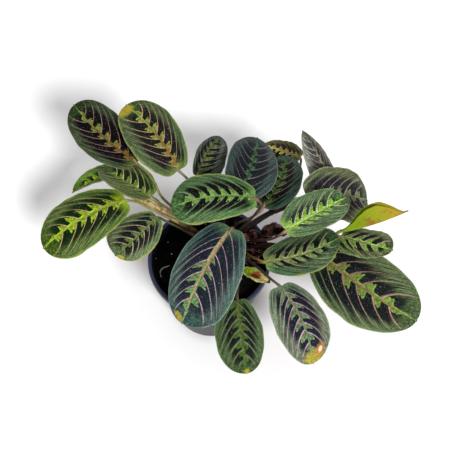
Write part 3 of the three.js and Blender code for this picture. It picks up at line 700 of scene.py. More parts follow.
def stalk_path(leaf):
    """The stalk's middle line, from the soil or a shoot up to the midrib."""
    base = np.array(leaf["base"], float)
    if "foot" in leaf:
        start = from_soil(leaf["foot"], leaf["stalk"])
    else:
        shoot, share = SHOOTS[leaf["shoot"]], leaf["share"]
        path = shoot_path(shoot)
        along = unit(point_at(path, share + 0.02) - point_at(path, share - 0.02))
        side = np.array(leaf["side"], float)
        side = unit(side - along * side.dot(along))
        clear = shoot_radius(shoot, share) + STALK_FOOT_RADIUS + SEAT_GAP
        seat = point_at(path, share) + side * clear
        start = [seat, seat + along * 4 + side * 1.6, *leaf["stalk"]]
    forward, _, normal, length = blade_axes(leaf)
    bent = math.radians(max(leaf["droop"], LEAST_TURN)) / 2
    lead = math.cos(bent) * forward + math.sin(bent) * normal
    over = math.cos(bent) * normal - math.sin(bent) * forward
    inside = base + lead * length * 0.07 - over * 1.1
    return smooth_path([*start, base - np.array([0, 0, 1.2]), inside], 8)


def stalk_radii(path, factor=1.0):
    """The stalk thins out above its foot and thickens again at the joint."""
    shares, length = shares_of(path)
    thin = np.clip(shares / 0.45, 0, 1)
    radii = STALK_FOOT_RADIUS + (STALK_NECK_RADIUS - STALK_FOOT_RADIUS) * thin
    from_end = (1 - shares) * length
    ending = np.clip(from_end / 2.5, 0, 1)
    joint = np.clip((JOINT_LENGTH - from_end) / 3, 0, 1) * ending
    radii = radii + (JOINT_RADIUS - STALK_NECK_RADIUS) * joint
    return (STALK_END_RADIUS + (radii - STALK_END_RADIUS) * ending) * factor


def finish_mesh(piece, angle=50):
    """Smooth shading with crisp edges where the surface turns sharply."""
    mesh = piece.data
    mesh.polygons.foreach_set("use_smooth", [True] * len(mesh.polygons))
    mesh.set_sharp_from_angle(angle=math.radians(angle))
    mesh.update()
    return piece


def stem_piece(name, path, radii, material, sides=14):
    """A stem along a path in millimetres, with a radius at every point."""
    mesh = bpy.data.meshes.new(name + "_path")
    mesh.from_pydata([tuple(p * MM) for p in path], [(k, k + 1) for k in range(len(path) - 1)], [])
    for title, numbers in (("stem_radius", radii * MM), ("along", shares_of(path)[0])):
        mesh.attributes.new(title, "FLOAT", "POINT").data.foreach_set("value", numbers.astype("f4"))
    tree = bpy.data.node_groups.get("Stem along a path") or stem_tree()
    values = dict(thickness=1.0, sides=sides, material=material)
    return finish_mesh(run_tree(name, tree, values, mesh))


def blade_piece(name, leaf, settings, upper, lower, **changes):
    """One blade made by the blade tree from a row of the table."""
    forward, left, normal, length = blade_axes(leaf)
    x, y, _ = leaf["base"]
    values = dict(
        base=[c * MM for c in leaf["base"]], forward=list(forward), left=list(left),
        normal=list(normal), length=length * MM, width=leaf["width"] * MM,
        skew=float(leaf["skew"]), blunt=leaf["blunt"], bow=leaf["bow"] * MM,
        droop=math.radians(max(leaf["droop"], LEAST_TURN)), wave=settings.wave,
        wave_phase=float(x), vein_shift=(y * 0.37) % 1.0, pleat_depth=settings.pleat,
        thickness=settings.thickness, midrib_depth=settings.midrib, rows=settings.rows,
        columns=settings.columns, upper_material=upper, lower_material=lower)
    for half, side in enumerate(("left", "right")):
        values["widest_" + side] = leaf["widest"][half]
        values["fold_" + side] = math.radians(leaf["fold"][half])
        values["cup_" + side] = math.radians(leaf["cup"][half] or LEAST_TURN)
    tree = bpy.data.node_groups.get("Leaf blade") or blade_tree()
    return finish_mesh(run_tree(name, tree, {**values, **changes}))


def mesh_piece(name, points, faces, material, angle=40):
    mesh = bpy.data.meshes.new(name)
    mesh.from_pydata([tuple(p) for p in points], [], faces)
    mesh.materials.append(material)
    return finish_mesh(add_object(name, mesh), angle)


def circle(radius, z, sides):
    """Points on a level circle about Z."""
    turns = [2 * math.pi * k / sides for k in range(sides)]
    return [(radius * math.cos(turn), radius * math.sin(turn), z) for turn in turns]


def lathe(profile, sides):
    """Points and faces of a closed profile turned about Z; the ends lie on the axis."""
    rings = profile[1:-1]
    points = [(0, 0, profile[0][1])]
    for radius, z in rings:
        points += circle(radius, z, sides)
    points.append((0, 0, profile[-1][1]))
    top = 1 + (len(rings) - 1) * sides
    faces = []
    for k in range(sides):
        n = (k + 1) % sides
        faces.append((0, 1 + n, 1 + k))
        for a in range(1, top, sides):
            faces.append((a + k, a + n, a + sides + n, a + sides + k))
        faces.append((top + k, top + n, len(points) - 1))
    return points, faces


def belongs(piece, node):
    """The piece rides on the plant's body and stands for a solid."""
    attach(piece, ROOT)
    if node:
        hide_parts(node)


# Materials.


class Surface:
    """A material whose colour is built up in layers."""

    def __init__(self, name, colour):
        self.material = bpy.data.materials.new(name)
        self.material.use_nodes = True
        self.tree = self.material.node_tree
        self.colour = colour

    @cached_property
    def place(self):
        return object_place(self.tree)

    def attributes(self, *names):
        return [attribute(self.tree, name) for name in names]

    def noise(self, *numbers):
        return noise(self.place, *numbers)

    def layer(self, share, colour):
        self.colour = blend(share, self.colour, colour)

    def shade(self, factor):
        self.colour = scaled(self.colour, factor)

    def finish(self, roughness, gloss=0.5, height=None, distance=0.0, strength=0.0):
        """The material with its colour, how rough and glossy it is, and its relief in metres."""
        inputs = self.tree.nodes["Principled BSDF"].inputs
        put(inputs["Base Color"], self.colour)
        put(inputs["Roughness"], roughness)
        put(inputs["Specular IOR Level"], gloss)
        if height is not None:
            put(inputs["Normal"], add(self.tree, "ShaderNodeBump", {
                "Height": height, "Distance": distance, "Strength": strength}))
        return self.material


def spot(across, share, place, stretch, end, cloud, waver):
    """Distance from a place on the blade, with a wavering outline."""
    beside = (across - place) * stretch
    below = share - end
    return (beside * beside + below * below).sqrt() + waver * (cloud - 0.5)


def pattern_group():
    """The prayer plant's leaf pattern, drawn along and across the blade."""
    numbers = {name.replace("_", " ").title(): item for name, item in LOOK_DEFAULTS.items()}
    tree, look = new_tree(
        "Prayer plant pattern", "ShaderNodeTree",
        {**dict.fromkeys(PATTERN_COLOURS, "#808080"), **numbers},
        {"Colour": "#808080", "Roughness": 0.5, "Height": 0.5})
    across, share, phase, start = (
        attribute(tree, name) for name in ("across", "along", "vein", "vein_root"))
    away = across.size()
    side = across.sign()
    place = object_place(tree)
    cloud = noise(place, 70.0, 2.0)
    grain = noise(place, 900.0)
    speckle = noise(place, 1000.0, 2.0, 0.7).rise(0.55, 0.66)
    mottle = noise(place, 480.0, 3.0, 0.6).rise(0.4, 0.62)
    streak = noise(triple(phase * 7.0, away * 1.6, side * 5.0 + cloud), 1.0, 4.0, 0.65)
    streak = streak.rise(0.36, 0.64)
    fine = noise(triple(phase * 24.0, away * 3.0, side * 9.0), 1.0, 3.0, 0.6).rise(0.36, 0.64)
    cell = phase.fraction()
    to_vein = 0.5 - (cell - 0.5).size()
    luck = add(tree, "ShaderNodeTexWhiteNoise", [triple(phase.floor(), side, 1.0)], "Value")

    # pale feather: on the tip's side of each side vein one toothed lobe, each of its own size
    lobe = cell.rise(0.0, 0.1) * cell.fall(0.36, 0.64) * share.fall(0.8, 0.92)
    lobe = lobe * (start - look.band_only).rise(-0.03, 0.03)
    teeth = (1.0 - (cell * 3.6 + 0.4 * luck).fraction()) * look.teeth
    span = (0.75 + 0.5 * luck) * (1.0 - 0.45 * share) * share.rise(0.0, 0.12) * look.plume
    band = look.band * (1.0 - 0.6 * share) * share.rise(0.0, 0.06)
    past = away - (band + span * lobe * (0.19 + 0.12 * teeth) + 0.02 * (grain - 0.5))
    feather = past.fall(-0.014, 0.014)
    lip = past.rise(-0.045, -0.015)

    # dark patches between the veins, fading outwards in streaks, longer near the stalk
    left_part = across.rise(-0.001, 0.001)
    dark_end = look.dark_right + left_part * (look.dark_left - look.dark_right)
    dark_end = dark_end + 0.3 * (0.4 - share) - 0.34 * (cell - 0.5).size()
    dark_end = dark_end + 0.18 * (streak - 0.5) - 0.1 * luck
    clear = 0.035 + 0.12 * look.halo
    dark = (away - dark_end).fall(-0.2, 0.05) * (to_vein - clear).rise(0.0, 0.075)
    dark = dark * share.rise(0.0, 0.10) * (share + 0.1 * cloud).fall(0.84, 0.98)

    # striped margin, calmer at the tip, with painted grey sheen lines, a paler rim and lining
    calm = share.rise(0.78, 0.95)
    light = (0.04 + 0.92 * streak) * (0.35 + 0.8 * fine) * (0.8 + 0.4 * cloud)
    light = light + calm * (0.22 + 0.3 * mottle - light)
    # painted highlight: thin grey sheen lines on the margin, parallel to the side veins
    sheen = blend(0.45, scaled(look.margin, 1.7), "#b4c0ac")
    line = ((phase * 5.0 + 0.5 * cloud).fraction() - 0.5).size().fall(0.03, 0.2)
    line = line * fine * away.rise(0.3, 0.6) * (0.35 + 0.65 * streak) * (1.0 - calm)
    outer = blend(line * look.stripes, scaled(look.margin, light), sheen)
    outer = blend(away.rise(0.88, 1.0) * 0.45, outer, scaled(look.margin, 1.3))
    outer = blend(away.rise(0.965, 0.99) * 0.4, outer, "#a9ae8c")
    # pale speckle in the dark patches, stronger where a leaf has painted glare
    inner = blend(speckle * (0.09 + 4.0 * look.bloom), scaled(look.dark, 0.06 + 0.42 * fine),
                  scaled(look.margin, 1.1))
    colour = blend(dark, outer, inner)
    heel = (share + 0.05 * away).fall(0.02, 0.17) * look.heel
    colour = blend(heel, colour, scaled(look.feather, 0.35 + 0.4 * fine + 0.3 * look.heel))
    plume = blend(share.fall(0.1, 0.65) * look.tan, look.feather, look.rib)
    plume = scaled(plume, 0.34 + 0.25 * mottle + 0.2 * fine + 0.35 * lip)
    colour = blend(feather, colour, plume)

    # side veins in a paler halo, thinner and fainter towards the edge
    width = (0.050 - 0.024 * away) * (0.6 + 0.4 * start.rise(0.0, 0.3))
    reach = away.rise(0.015, 0.07) * start.rise(0.0, 0.05) * start.fall(0.74, 0.86)
    reach = reach * share.fall(0.93, 0.985)
    halo = (to_vein / width).fall(0.8, 3.6) * away.fall(0.6, 1.0) * reach
    colour = blend(halo * look.halo, colour, look.margin)
    vein = (to_vein / width).fall(0.4, 1.05) * away.fall(0.7, 0.98) * reach
    vein = vein * (0.8 + 0.2 * mottle)
    colour = blend(vein * 0.95, colour, scaled(look.vein, 1.2 + 0.4 * cloud))

    # midrib, green towards the tip
    rib = (away / (0.042 * (1.0 - 0.65 * share))).fall(0.6, 1.1)
    green_rib = (share - look.rib_reach).rise(0.0, 0.4)
    rib_colour = blend(green_rib, scaled(look.rib, 0.85), scaled(look.feather, 0.9))
    colour = blend(rib * 0.95, colour, rib_colour)

    # yellowed spot near the tip, burnt spot, yellowed edge, painted grey glare, pale specks painted
    # as glints
    end = 1.0 - 0.06 * look.tip_side.size()
    from_tip = spot(across, share, look.tip_side, 0.16, end, cloud, 0.05)
    yellow = (from_tip / (0.02 + 0.12 * look.tip_yellow)).fall(0.6, 1.0)
    yellow = yellow * look.tip_yellow.rise(0.0, 0.3)
    colour = blend(yellow * (0.55 + 0.4 * cloud), colour, "#a3942a")
    from_spot = spot(across, share, 0.5, 0.3, 0.87, cloud, 0.04)
    colour = blend(from_spot.fall(0.04, 0.09) * look.scorch * 0.8, colour, "#a8642c")
    colour = blend(from_spot.fall(0.015, 0.045) * look.scorch, colour, "#e8cdb0")
    edge = (away + 0.3 * (cloud - 0.5)).rise(0.90, 1.0) * (cloud + 0.4 * fine).rise(0.4, 0.8)
    colour = blend(edge * look.edge_yellow, colour, "#a9a244")
    # painted glare: a grey haze laid over the colour, weaker on the feather
    bloom = look.bloom * (0.35 + 0.75 * fine) * (1.0 - 0.6 * feather)
    colour = scaled(blend(bloom, colour, "#8d9a98"), 0.82 + 0.36 * mottle)
    # pale specks: painted glints
    colour = blend(noise(place, 800.0, 0.0).rise(0.72, 0.8) * 0.2, colour, "#a9b8a4")

    result = tree.nodes.new("NodeGroupOutput").inputs
    put(result["Colour"], colour)
    put(result["Roughness"], 0.42 + 0.12 * fine + 0.06 * dark - 0.06 * feather)
    put(result["Height"], 0.5 * vein + 0.5 * rib + 0.45 * streak + 0.3 * fine + 0.15 * grain)
    return tree


def blade_material(name, look):
    """Upper face of one leaf."""
    skin = Surface(name, None)
    group = skin.tree.nodes.new("ShaderNodeGroup")
    group.node_tree = bpy.data.node_groups.get("Prayer plant pattern") or pattern_group()
    looks = {**look, **dict(zip(map(key, PATTERN_COLOURS), look["colours"]))}
    for socket in group.inputs:
        put(socket, looks[key(socket.name)])
    skin.colour, roughness, height = map(Field, group.outputs)
    return skin.finish(roughness, 0.07, height, 0.0004, 0.55)


def young_material():
    """Both faces of the young leaf that is still rolled: yellow-green with ripe patches."""
    skin = Surface("young_leaf", "#86a80c")
    across, share, phase = skin.attributes("across", "along", "vein")
    away = across.size()
    fine = noise(triple(phase * 18.0, away * 2.0, across.sign() * 4.0), 1.0)
    patch = skin.noise(110.0).rise(0.42, 0.6) * share.rise(0.15, 0.5) * away.fall(0.5, 0.95)
    skin.layer(share.rise(0.25, 0.95), "#b29a1a")
    skin.layer(patch * 0.8, "#9a5f24")
    skin.layer(share.rise(0.94, 1.0), "#7a6a2a")
    skin.shade(0.42 + 0.58 * fine)
    return skin.finish(0.45, 0.2, fine, 0.0004, 0.6)


def underside_material(colour):
    """Lower face of the leaves: wine red, with a paler midrib and veins."""
    skin = Surface("leaf_underside", colour)
    across, phase = skin.attributes("across", "vein")
    away = across.size()
    fine = noise(triple(phase * 18.0, away * 2.0, 0.0), 1.0)
    to_vein = 0.5 - (phase.fraction() - 0.5).size()
    vein = (to_vein.fall(0.02, 0.07) * away.fall(0.7, 0.95)).at_least(away.fall(0.03, 0.07))
    skin.layer(skin.noise(60.0).rise(0.35, 0.7), "#5c5a42")
    skin.shade(0.75 + 0.5 * fine)
    skin.layer(vein * 0.7, "#a07a58")
    return skin.finish(0.45 + 0.15 * fine, 0.5, fine + vein, 0.0004, 0.5)


def stalk_material(name, foot, middle, joint, streaks=0.5):
    """Stalk or shoot: three colours along its length, with fine fibres."""
    skin = Surface(name, foot)
    share, = skin.attributes("along")
    cloud = skin.noise(90.0)
    grain = skin.noise(700.0, 4.0)
    patchy = skin.noise(260.0).rise(0.35, 0.62)
    skin.layer(share.rise(0.2, 0.65), middle)
    skin.layer(share.rise(0.82, 0.95), joint)
    skin.shade((1.0 - 0.5 * streaks) + streaks * (0.5 * cloud + 0.5 * grain))
    skin.shade((1.0 - 0.75 * streaks) + 0.75 * streaks * patchy)
    return skin.finish(0.42 + 0.2 * grain, 0.25, grain, 0.0003, 0.5)


def dry_material(name, first, second, edge_highlight):
    """Dead leaf: two blotchy colours and a pale, patchy edge that is a painted highlight."""
    skin = Surface(name, first)
    across, = skin.attributes("across")
    cloud = skin.noise(160.0, 4.0)
    grain = skin.noise(900.0, 4.0)
    # pale, patchy edge: painted highlight
    edge = (across.size() + 0.4 * cloud).rise(1.0, 1.25) * grain.rise(0.35, 0.6)
    skin.layer(cloud.rise(0.48, 0.64), second)
    skin.layer(edge * 0.8, edge_highlight)
    skin.shade(0.7 + 0.6 * grain)
    return skin.finish(0.5, 0.15, cloud + 0.5 * grain, 0.0006, 0.6)


def yellowing_material():
    """The dying leaf over the rim: yellow-green, a brown patch, pale edges, a burnt tip."""
    skin = Surface("dry_yellow", "#96b01c")
    across, share = skin.attributes("across", "along")
    cloud = skin.noise(240.0)
    grain = skin.noise(900.0, 4.0)
    patch = spot(across, share, 0.0, 0.3, 0.52, cloud, 0.3)
    skin.layer(share.rise(0.25, 0.7), "#bdb268")
    skin.layer((across.size() + 0.3 * (cloud - 0.5)).rise(0.55, 0.95) * 0.7, "#b9c08a")
    skin.layer(patch.fall(0.14, 0.24), "#8c4422")
    skin.layer(patch.fall(0.02, 0.12) * 0.8, "#3c1c14")
    skin.layer(share.rise(0.9, 0.97), "#2c1a14")
    skin.shade(0.75 + 0.45 * grain)
    return skin.finish(0.55, 0.2, cloud + 0.5 * grain, 0.0005, 0.5)


def soil_material(name, dark, light):
    skin = Surface(name, dark)
    cloud = skin.noise(120.0, 5.0, 0.65)
    grain = skin.noise(900.0, 4.0, 0.7)
    skin.layer((cloud * 0.5 + grain * 0.5).rise(0.42, 0.66), light)
    return skin.finish(0.75 + 0.2 * grain, 0.06, cloud + grain, 0.0012, 0.7)


def pot_material(colour):
    """Moulded black plastic with a dusty haze, faint scuffs and a painted bluish highlight on the
    rim's top.
    """
    skin = Surface("pot_plastic", colour)
    cloud = skin.noise(35.0)
    stretched = add(skin.tree, "ShaderNodeVectorMath", (skin.place, (60.0, 60.0, 900.0)),
                    operation="MULTIPLY")
    scuff = noise(stretched, 1.0).rise(0.62, 0.75)
    # top of the rim: painted bluish highlight, broken up by the cloud
    top = add(skin.tree, "ShaderNodeSeparateXYZ", [skin.place], "Z").rise(0.0985, 0.0997)
    skin.layer(cloud.rise(0.4, 0.75) * 0.5, "#171a22")
    skin.layer(scuff * 0.12, "#7a7f88")
    skin.layer(top * (0.6 + 0.4 * cloud), "#2a2f4a")
    return skin.finish(0.30 + 0.18 * cloud + 0.12 * scuff, 0.3,
                       skin.noise(1400.0, 2.0) + 0.4 * cloud, 0.0003, 0.35)


# Settings.


class PlantBladeSettings(bpy.types.PropertyGroup):
    """Sizes that all leaf blades share."""

    thickness: FloatProperty(
        name="Thickness", description="Thickness of a blade away from its midrib",
        default=0.0005, min=0.0002, max=0.001, unit="LENGTH", precision=5)
    midrib: FloatProperty(
        name="Midrib depth", description="How far the midrib stands out below the blade",
        default=0.0013, min=0.0, max=0.003, unit="LENGTH", precision=5)
    pleat: FloatProperty(
        name="Pleat depth", description="How far the blade swells between two side veins",
        default=0.0009, min=0.0, max=0.002, unit="LENGTH", precision=5)
    wave: FloatProperty(
        name="Edge wave", description="Height of the slow wave along the blade's edge",
        default=0.0007, min=0.0, max=0.003, unit="LENGTH", precision=5)
    rows: IntProperty(
        name="Rows", description="Points along each blade", default=91, min=11, max=201)
    columns: IntProperty(
        name="Columns", description="Points across each blade", default=57, min=9, max=101)
    underside: FloatVectorProperty(
        name="Underside", description="Colour of the blades' lower face",
        default=srgb("#6b3444"), size=4, subtype="COLOR", min=0.0, max=1.0)


class PlantStemSettings(bpy.types.PropertyGroup):
    """Sizes that stalks and shoots share."""

    sides: IntProperty(
        name="Sides", description="Points round each stalk and shoot", default=14, min=6, max=32)
    thickness: FloatProperty(
        name="Thickness", description="Factor on every stalk's radius",
        default=1.0, min=0.5, max=1.2, subtype="FACTOR")


class PlantPotSettings(bpy.types.PropertyGroup):
    """Pot and soil."""

    height: FloatProperty(
        name="Height", description="Height of the pot", default=0.100, unit="LENGTH")
    rim_radius: FloatProperty(
        name="Rim radius", description="Outer radius of the rolled rim",
        default=0.060, unit="LENGTH")
    base_radius: FloatProperty(
        name="Base radius", description="Radius of the flat base", default=0.040, unit="LENGTH")
    wall: FloatProperty(
        name="Wall", description="Thickness of the wall", default=0.0014, unit="LENGTH")
    plastic: FloatVectorProperty(
        name="Plastic", description="Colour of the moulded pot",
        default=srgb("#0b0d14"), size=4, subtype="COLOR", min=0.0, max=1.0)
    soil: FloatVectorProperty(
        name="Soil", description="Colour of the damp soil",
        default=srgb("#050404"), size=4, subtype="COLOR", min=0.0, max=1.0)
    crumbs: FloatProperty(
        name="Crumbs", description="Soil crumbs for each square metre",
        default=420000.0, min=0.0)
    perlite: FloatProperty(
        name="Perlite", description="Pale grains for each square metre", default=1500.0, min=0.0)
    seed: IntProperty(name="Seed", description="Seed of the crumbs' places", default=3)


class PlantStageSettings(bpy.types.PropertyGroup):
    """Floor, light and camera."""

    elevation: FloatProperty(
        name="Elevation", description="Camera's height above the horizon",
        default=math.radians(60.0), subtype="ANGLE")
    distance: FloatProperty(
        name="Distance", description="From the camera to the rim's height",
        default=0.8, unit="LENGTH")
    focal_length: FloatProperty(
        name="Focal length", description="Lens on a 36 mm sensor, in millimetres",
        default=61.44, min=10.0)
    key_strength: FloatProperty(
        name="Key light", description="Strength of the soft lamp", default=3.3, min=0.0)
    sky: FloatProperty(
        name="Surround", description="Strength of the even white surround", default=0.6, min=0.0)


class PlantSettings(bpy.types.PropertyGroup):
    """All settings of the potted prayer plant."""

    blade: PointerProperty(type=PlantBladeSettings)
    stem: PointerProperty(type=PlantStemSettings)
    pot: PointerProperty(type=PlantPotSettings)
    stage: PointerProperty(type=PlantStageSettings)


# Operators.


class PLANT_OT_blades(bpy.types.Operator):
    """Makes the patterned blade of every leaf"""

    bl_idname = "plant.blades"
    bl_label = "Leaf blades"

    def execute(self, context):
        settings = context.scene.prayer_plant.blade
        underside = underside_material(list(settings.underside))
        for node, look in LOOKS.items():
            if node == YOUNG_LEAF:
                upper = lower = young_material()
            else:
                upper = blade_material(node + "_upper", {**LOOK_DEFAULTS, **look})
                lower = underside
            piece = blade_piece(node + "_blade", {**LEAF_DEFAULTS, **LEAVES[node]}, settings,
                                upper, lower, side_veins=look["veins"])
            belongs(piece, node)
        return {"FINISHED"}


class PLANT_OT_stalks(bpy.types.Operator):
    """Makes the stalk of every leaf, up to the joint below the blade"""

    bl_idname = "plant.stalks"
    bl_label = "Leaf stalks"

    def execute(self, context):
        settings = context.scene.prayer_plant.stem
        for node, look in LOOKS.items():
            path = stalk_path({**LEAF_DEFAULTS, **LEAVES[node]})
            material = stalk_material(node + "_stalk", *look.get("stalk", STALK_COLOURS))
            piece = stem_piece(node + "_stalk", path, stalk_radii(path) * settings.thickness,
                               material, settings.sides)
            belongs(piece, node)
        return {"FINISHED"}


class PLANT_OT_shoots(bpy.types.Operator):
    """Makes the three creeping shoots with their leaf sheaths"""

    bl_idname = "plant.shoots"
    bl_label = "Shoots"

    def execute(self, context):
        settings = context.scene.prayer_plant.stem
        looks = {
            "shoot_left": stalk_material("shoot_tan", "#5a4426", "#c0a868", "#c8a478", 0.95),
            # the back shoot's near-black is partly painted shade under the crown's leaves
            "shoot_back": stalk_material("shoot_dark", "#2a1816", "#221a16", "#4a3a30", 0.8),
            "shoot_right": stalk_material("shoot_brown", "#2e1c1a", "#4a3628", "#6a5a40", 0.8),
        }
        for node, shoot in SHOOTS.items():
            path = shoot_path(shoot)
            radii = np.array([shoot_radius(shoot, s) for s in shares_of(path)[0]])
            piece = stem_piece(node + "_stem", path, radii * settings.thickness, looks[node],
                               settings.sides + 4)
            belongs(piece, node)
        return {"FINISHED"}


class PLANT_OT_dry_leaves(bpy.types.Operator):
    """Makes the two dead leaves and the dry scraps at the crown and on the left shoot"""

    bl_idname = "plant.dry_leaves"
    bl_label = "Dead leaves"

    def execute(self, context):
        settings = context.scene.prayer_plant.blade
        brown = dry_material("dry_brown", "#160e0c", "#6a4236", "#bcb0a6")
        for node, material, crumple in (("dry_leaf_back", brown, 0.007),
                                        ("dry_leaf_front", yellowing_material(), 0.004)):
            leaf = {**LEAF_DEFAULTS, **LEAVES[node]}
            path = stalk_path(leaf)
            belongs(blade_piece(node + "_blade", leaf, settings, material, material,
                                crumple=crumple, uneven_edge=0.07, columns=33, rows=49),
                    node)
            belongs(stem_piece(node + "_stalk", path, stalk_radii(path, 0.8), material, 10),
                    node)
        scrap = dry_material("dry_sheath", "#120809", "#844c44", "#b8968a")
        papery = dry_material("papery_sheath", "#a8846c", "#6e4a3a", "#c4a890")
        self.scraps(settings, "litter_%02d", LITTER, 70, scrap, "dry_leaf",
                    crumple=0.003, columns=15, rows=31)
        self.scraps(settings, "sheath_tip_%d", SHEATH_TIPS, 50, papery, "shoot",
                    crumple=0.001, columns=13, rows=25)
        return {"FINISHED"}

    def scraps(self, settings, title, table, cup, material, slot, **changes):
        """Small rolled flakes that stand for no solid."""
        for place, row in enumerate(table, 1):
            leaf = {**LEAF_DEFAULTS, **dict(zip(SCRAP_KEYS, row)), "cup": (cup, cup),
                    "blunt": 0.9}
            belongs(blade_piece(title % place, leaf, settings, material, material, **changes),
                    None)


class PLANT_OT_soil(bpy.types.Operator):
    """Makes the soil bed, the crumbs on it, the perlite and the dead root"""

    bl_idname = "plant.soil"
    bl_label = "Soil"

    def execute(self, context):
        settings = context.scene.prayer_plant.pot
        soil = soil_material("soil_damp", list(settings.soil), "#100d0b")
        crumb = soil_material("soil_crumb", "#060504", "#1c1612")
        pale = soil_material("perlite", "#98968d", "#e0ddd2")
        belongs(self.bed(settings, soil), "soil")
        top = self.bed(settings, soil, only_top=True)
        for name, density, smallest, largest, seed, material in (
                ("soil_crumbs", settings.crumbs, 0.0004, 0.0016, settings.seed, crumb),
                ("perlite_grains", settings.perlite, 0.0006, 0.0013, settings.seed + 8, pale)):
            tree = bpy.data.node_groups.get("Soil crumbs") or crumb_tree()
            values = dict(density=density, smallest=smallest, largest=largest, seed=seed,
                          material=material)
            belongs(run_tree(name, tree, values, top.data), "soil")
        bpy.data.objects.remove(top)
        root = smooth_path(ROOT_PATH)
        radii = np.interp(np.linspace(0, 1, len(root)), [0, 0.5, 1], [0.3, 0.75, 0.3])
        belongs(stem_piece("dead_root", root, radii, pale, 8), "soil")
        return {"FINISHED"}

    def bed(self, settings, material, only_top=False):
        """The soil as a closed body, or only its uneven top."""
        edge = self.edge(settings, SOIL_TOP)
        points = []
        for ring in range(1, BED_RINGS + 1):
            share = ring / BED_RINGS
            points += [(x, y, self.height(x, y, share))
                       for x, y, _ in circle(share * edge, 0, BED_SIDES)]
        rim = len(points) - BED_SIDES
        points.append((0, 0, self.height(0, 0, 0)))
        pairs = [(k, (k + 1) % BED_SIDES) for k in range(BED_SIDES)]
        faces = [(ring + k, ring + BED_SIDES + k, ring + BED_SIDES + n, ring + n)
                 for ring in range(0, rim, BED_SIDES) for k, n in pairs]
        faces += [(k, n, len(points) - 1) for k, n in pairs]
        if not only_top:
            low = len(points)
            points += circle(self.edge(settings, SOIL_FLOOR), SOIL_FLOOR, BED_SIDES)
            points.append((0, 0, SOIL_FLOOR))
            for k, n in pairs:
                faces.append((rim + k, low + k, low + n, rim + n))
                faces.append((low + k, low + BED_SIDES, low + n))
        points = [[c * MM for c in point] for point in points]
        return mesh_piece("soil_top" if only_top else "soil_bed", points, faces, material, 80)

    @staticmethod
    def edge(settings, z):
        """Radius of the soil at a height, just inside the pot's wall."""
        low, high = settings.base_radius / MM, settings.rim_radius / MM - 3.6
        return low + (high - low) * z / (settings.height / MM - 7) - settings.wall / MM - 0.3

    @staticmethod
    def height(x, y, share):
        """Height of the uneven top; it meets the wall level."""
        slow = 0.9 * math.sin(x / 9 + 1) * math.cos(y / 11) + 0.7 * math.sin(y / 7 - x / 15)
        quick = 0.5 * math.sin(x * 1.3 + y * 0.7) * math.sin(y * 1.1 - x * 0.4)
        quick += 0.3 * math.sin(x * 2.9) * math.cos(y * 2.5)
        return SOIL_TOP + (slow + quick) * min(1.0, (1 - share) * 8)


class PLANT_OT_pot(bpy.types.Operator):
    """Makes the round pot with its rolled rim and drain holes"""

    bl_idname = "plant.pot"
    bl_label = "Pot"

    def execute(self, context):
        settings = context.scene.prayer_plant.pot
        top, rim, base = settings.height, settings.rim_radius, settings.base_radius

        def outside(z):
            return base + (rim - RIM_STEP - base) * z / (top - RIM_HEIGHT)

        def inside(z):
            return outside(z) - settings.wall

        def quarter(radius, z, start, end, size=ROLL):
            """Points of a rounded edge about a centre, from one angle to another."""
            turns = [math.radians(start + (end - start) * k / 5) for k in range(6)]
            return [(radius + size * math.cos(t), z + size * math.sin(t)) for t in turns]

        under = top - RIM_HEIGHT
        profile = [(0.0, 0.0)]
        profile += quarter(base - BASE_ROUND, BASE_ROUND, -90, -5, BASE_ROUND)
        profile += [(outside(z), z) for z in (0.004, 0.02, 0.04, 0.06, 0.08, 0.0915)]
        profile += [(outside(under) + 0.0006, under - 0.0001)]
        profile += quarter(rim - ROLL, under + ROLL, -90, 0)
        profile += quarter(rim - ROLL, top - ROLL, 0, 90)
        profile += quarter(inside(top) + ROLL, top - ROLL, 90, 180)
        profile += [(inside(z), z) for z in (0.09, 0.06, 0.03, 0.004)]
        profile += [(inside(FLOOR_TOP) - 0.001, FLOOR_TOP), (0.0, FLOOR_TOP)]
        piece = mesh_piece("pot_body", *lathe(profile, 160), pot_material(list(settings.plastic)))
        self.drill(piece)
        belongs(piece, "pot")
        return {"FINISHED"}

    def drill(self, piece):
        """Drain holes in the floor."""
        made = bmesh.new()
        for k in range(HOLES):
            angle = 2 * math.pi * (k + 0.5) / HOLES
            before = len(made.verts)
            bmesh.ops.create_cone(made, cap_ends=True, segments=32, radius1=HOLE_RADIUS,
                                  radius2=HOLE_RADIUS, depth=4 * FLOOR_TOP)
            made.verts.ensure_lookup_table()
            centre = (HOLE_CIRCLE * math.cos(angle), HOLE_CIRCLE * math.sin(angle), FLOOR_TOP / 2)
            bmesh.ops.translate(made, verts=made.verts[before:], vec=centre)
        mesh = bpy.data.meshes.new("drain_cutter")
        made.to_mesh(mesh)
        made.free()
        cutter = add_object("drain_cutter", mesh)
        cut = piece.modifiers.new("Drain holes", "BOOLEAN")
        cut.object = cutter
        cut.operation = "DIFFERENCE"
        cut.solver = "EXACT"
        piece.data = evaluated(piece)
        finish_mesh(piece, 40)
        bpy.data.objects.remove(cutter)


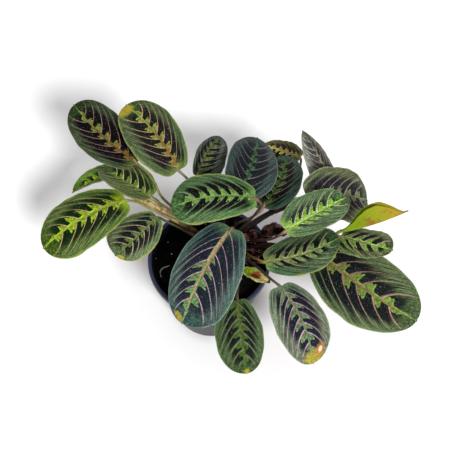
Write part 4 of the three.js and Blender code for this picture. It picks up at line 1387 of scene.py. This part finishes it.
class PLANT_OT_stage(bpy.types.Operator):
    """Adds the floor, the light and the camera"""

    bl_idname = "plant.stage"
    bl_label = "Stage"

    def execute(self, context):
        settings = context.scene.prayer_plant.stage
        white = Surface("floor_white", "#f4f4f4")
        white.layer(white.noise(3.0, 2.0), "#f8f8f8")
        corners = [(-FLOOR_HALF, -FLOOR_HALF, 0), (FLOOR_HALF, -FLOOR_HALF, 0),
                   (FLOOR_HALF, FLOOR_HALF, 0), (-FLOOR_HALF, FLOOR_HALF, 0)]
        floor = mesh_piece("floor", corners, [(0, 1, 2, 3)], white.finish(0.9))

        lamp = bpy.data.lights.new("key", "SUN")
        lamp.angle = KEY_SPREAD
        lamp.energy = settings.key_strength
        self.aim(add_object("key", lamp), Vector(KEY_PLACE), Vector(KEY_PLACE))

        scene = context.scene
        scene.world = bpy.data.worlds.new("surround")
        scene.world.use_nodes = True
        surround = scene.world.node_tree.nodes["Background"].inputs
        surround["Color"].default_value = (1, 1, 1, 1)
        surround["Strength"].default_value = settings.sky
        scene.view_settings.view_transform = "Standard"

        lens = bpy.data.cameras.new("camera")
        lens.sensor_width = 36.0
        lens.lens = settings.focal_length
        lens.clip_end = 20.0
        scene.camera = add_object("camera", lens)
        back = Vector((0, -math.cos(settings.elevation), math.sin(settings.elevation)))
        self.aim(scene.camera, Vector(CAMERA_AIM) + back * settings.distance, back)
        return {"FINISHED"}

    def aim(self, piece, place, back):
        """Puts a lamp or camera at a place, with its back turned in a direction."""
        piece.location = place
        piece.rotation_mode = "QUATERNION"
        piece.rotation_quaternion = (-back).to_track_quat("-Z", "Y")


class PLANT_PT_panel(bpy.types.Panel):
    """Lists the settings and the steps that dress the plant"""

    bl_idname = "PLANT_PT_panel"
    bl_label = "Prayer plant"
    bl_space_type = "VIEW_3D"
    bl_region_type = "UI"
    bl_category = "Prayer plant"

    def draw(self, context):
        settings = context.scene.prayer_plant
        for group in (settings.blade, settings.stem, settings.pot, settings.stage):
            box = self.layout.box()
            for name in group.__annotations__:
                box.prop(group, name)
        for step in STEPS:
            self.layout.operator(step.bl_idname)


STEPS = (PLANT_OT_stage, PLANT_OT_blades, PLANT_OT_stalks, PLANT_OT_shoots,
         PLANT_OT_dry_leaves, PLANT_OT_soil, PLANT_OT_pot)
CLASSES = (PlantBladeSettings, PlantStemSettings, PlantPotSettings, PlantStageSettings,
           PlantSettings, *STEPS, PLANT_PT_panel)


def register():
    for item in CLASSES:
        bpy.utils.register_class(item)
    bpy.types.Scene.prayer_plant = PointerProperty(type=PlantSettings)


def unregister():
    del bpy.types.Scene.prayer_plant
    for item in reversed(CLASSES):
        bpy.utils.unregister_class(item)


def main():
    register()
    for step in STEPS:
        group, name = step.bl_idname.split(".")
        getattr(getattr(bpy.ops, group), name)()


if __name__ == "__main__":
    main()
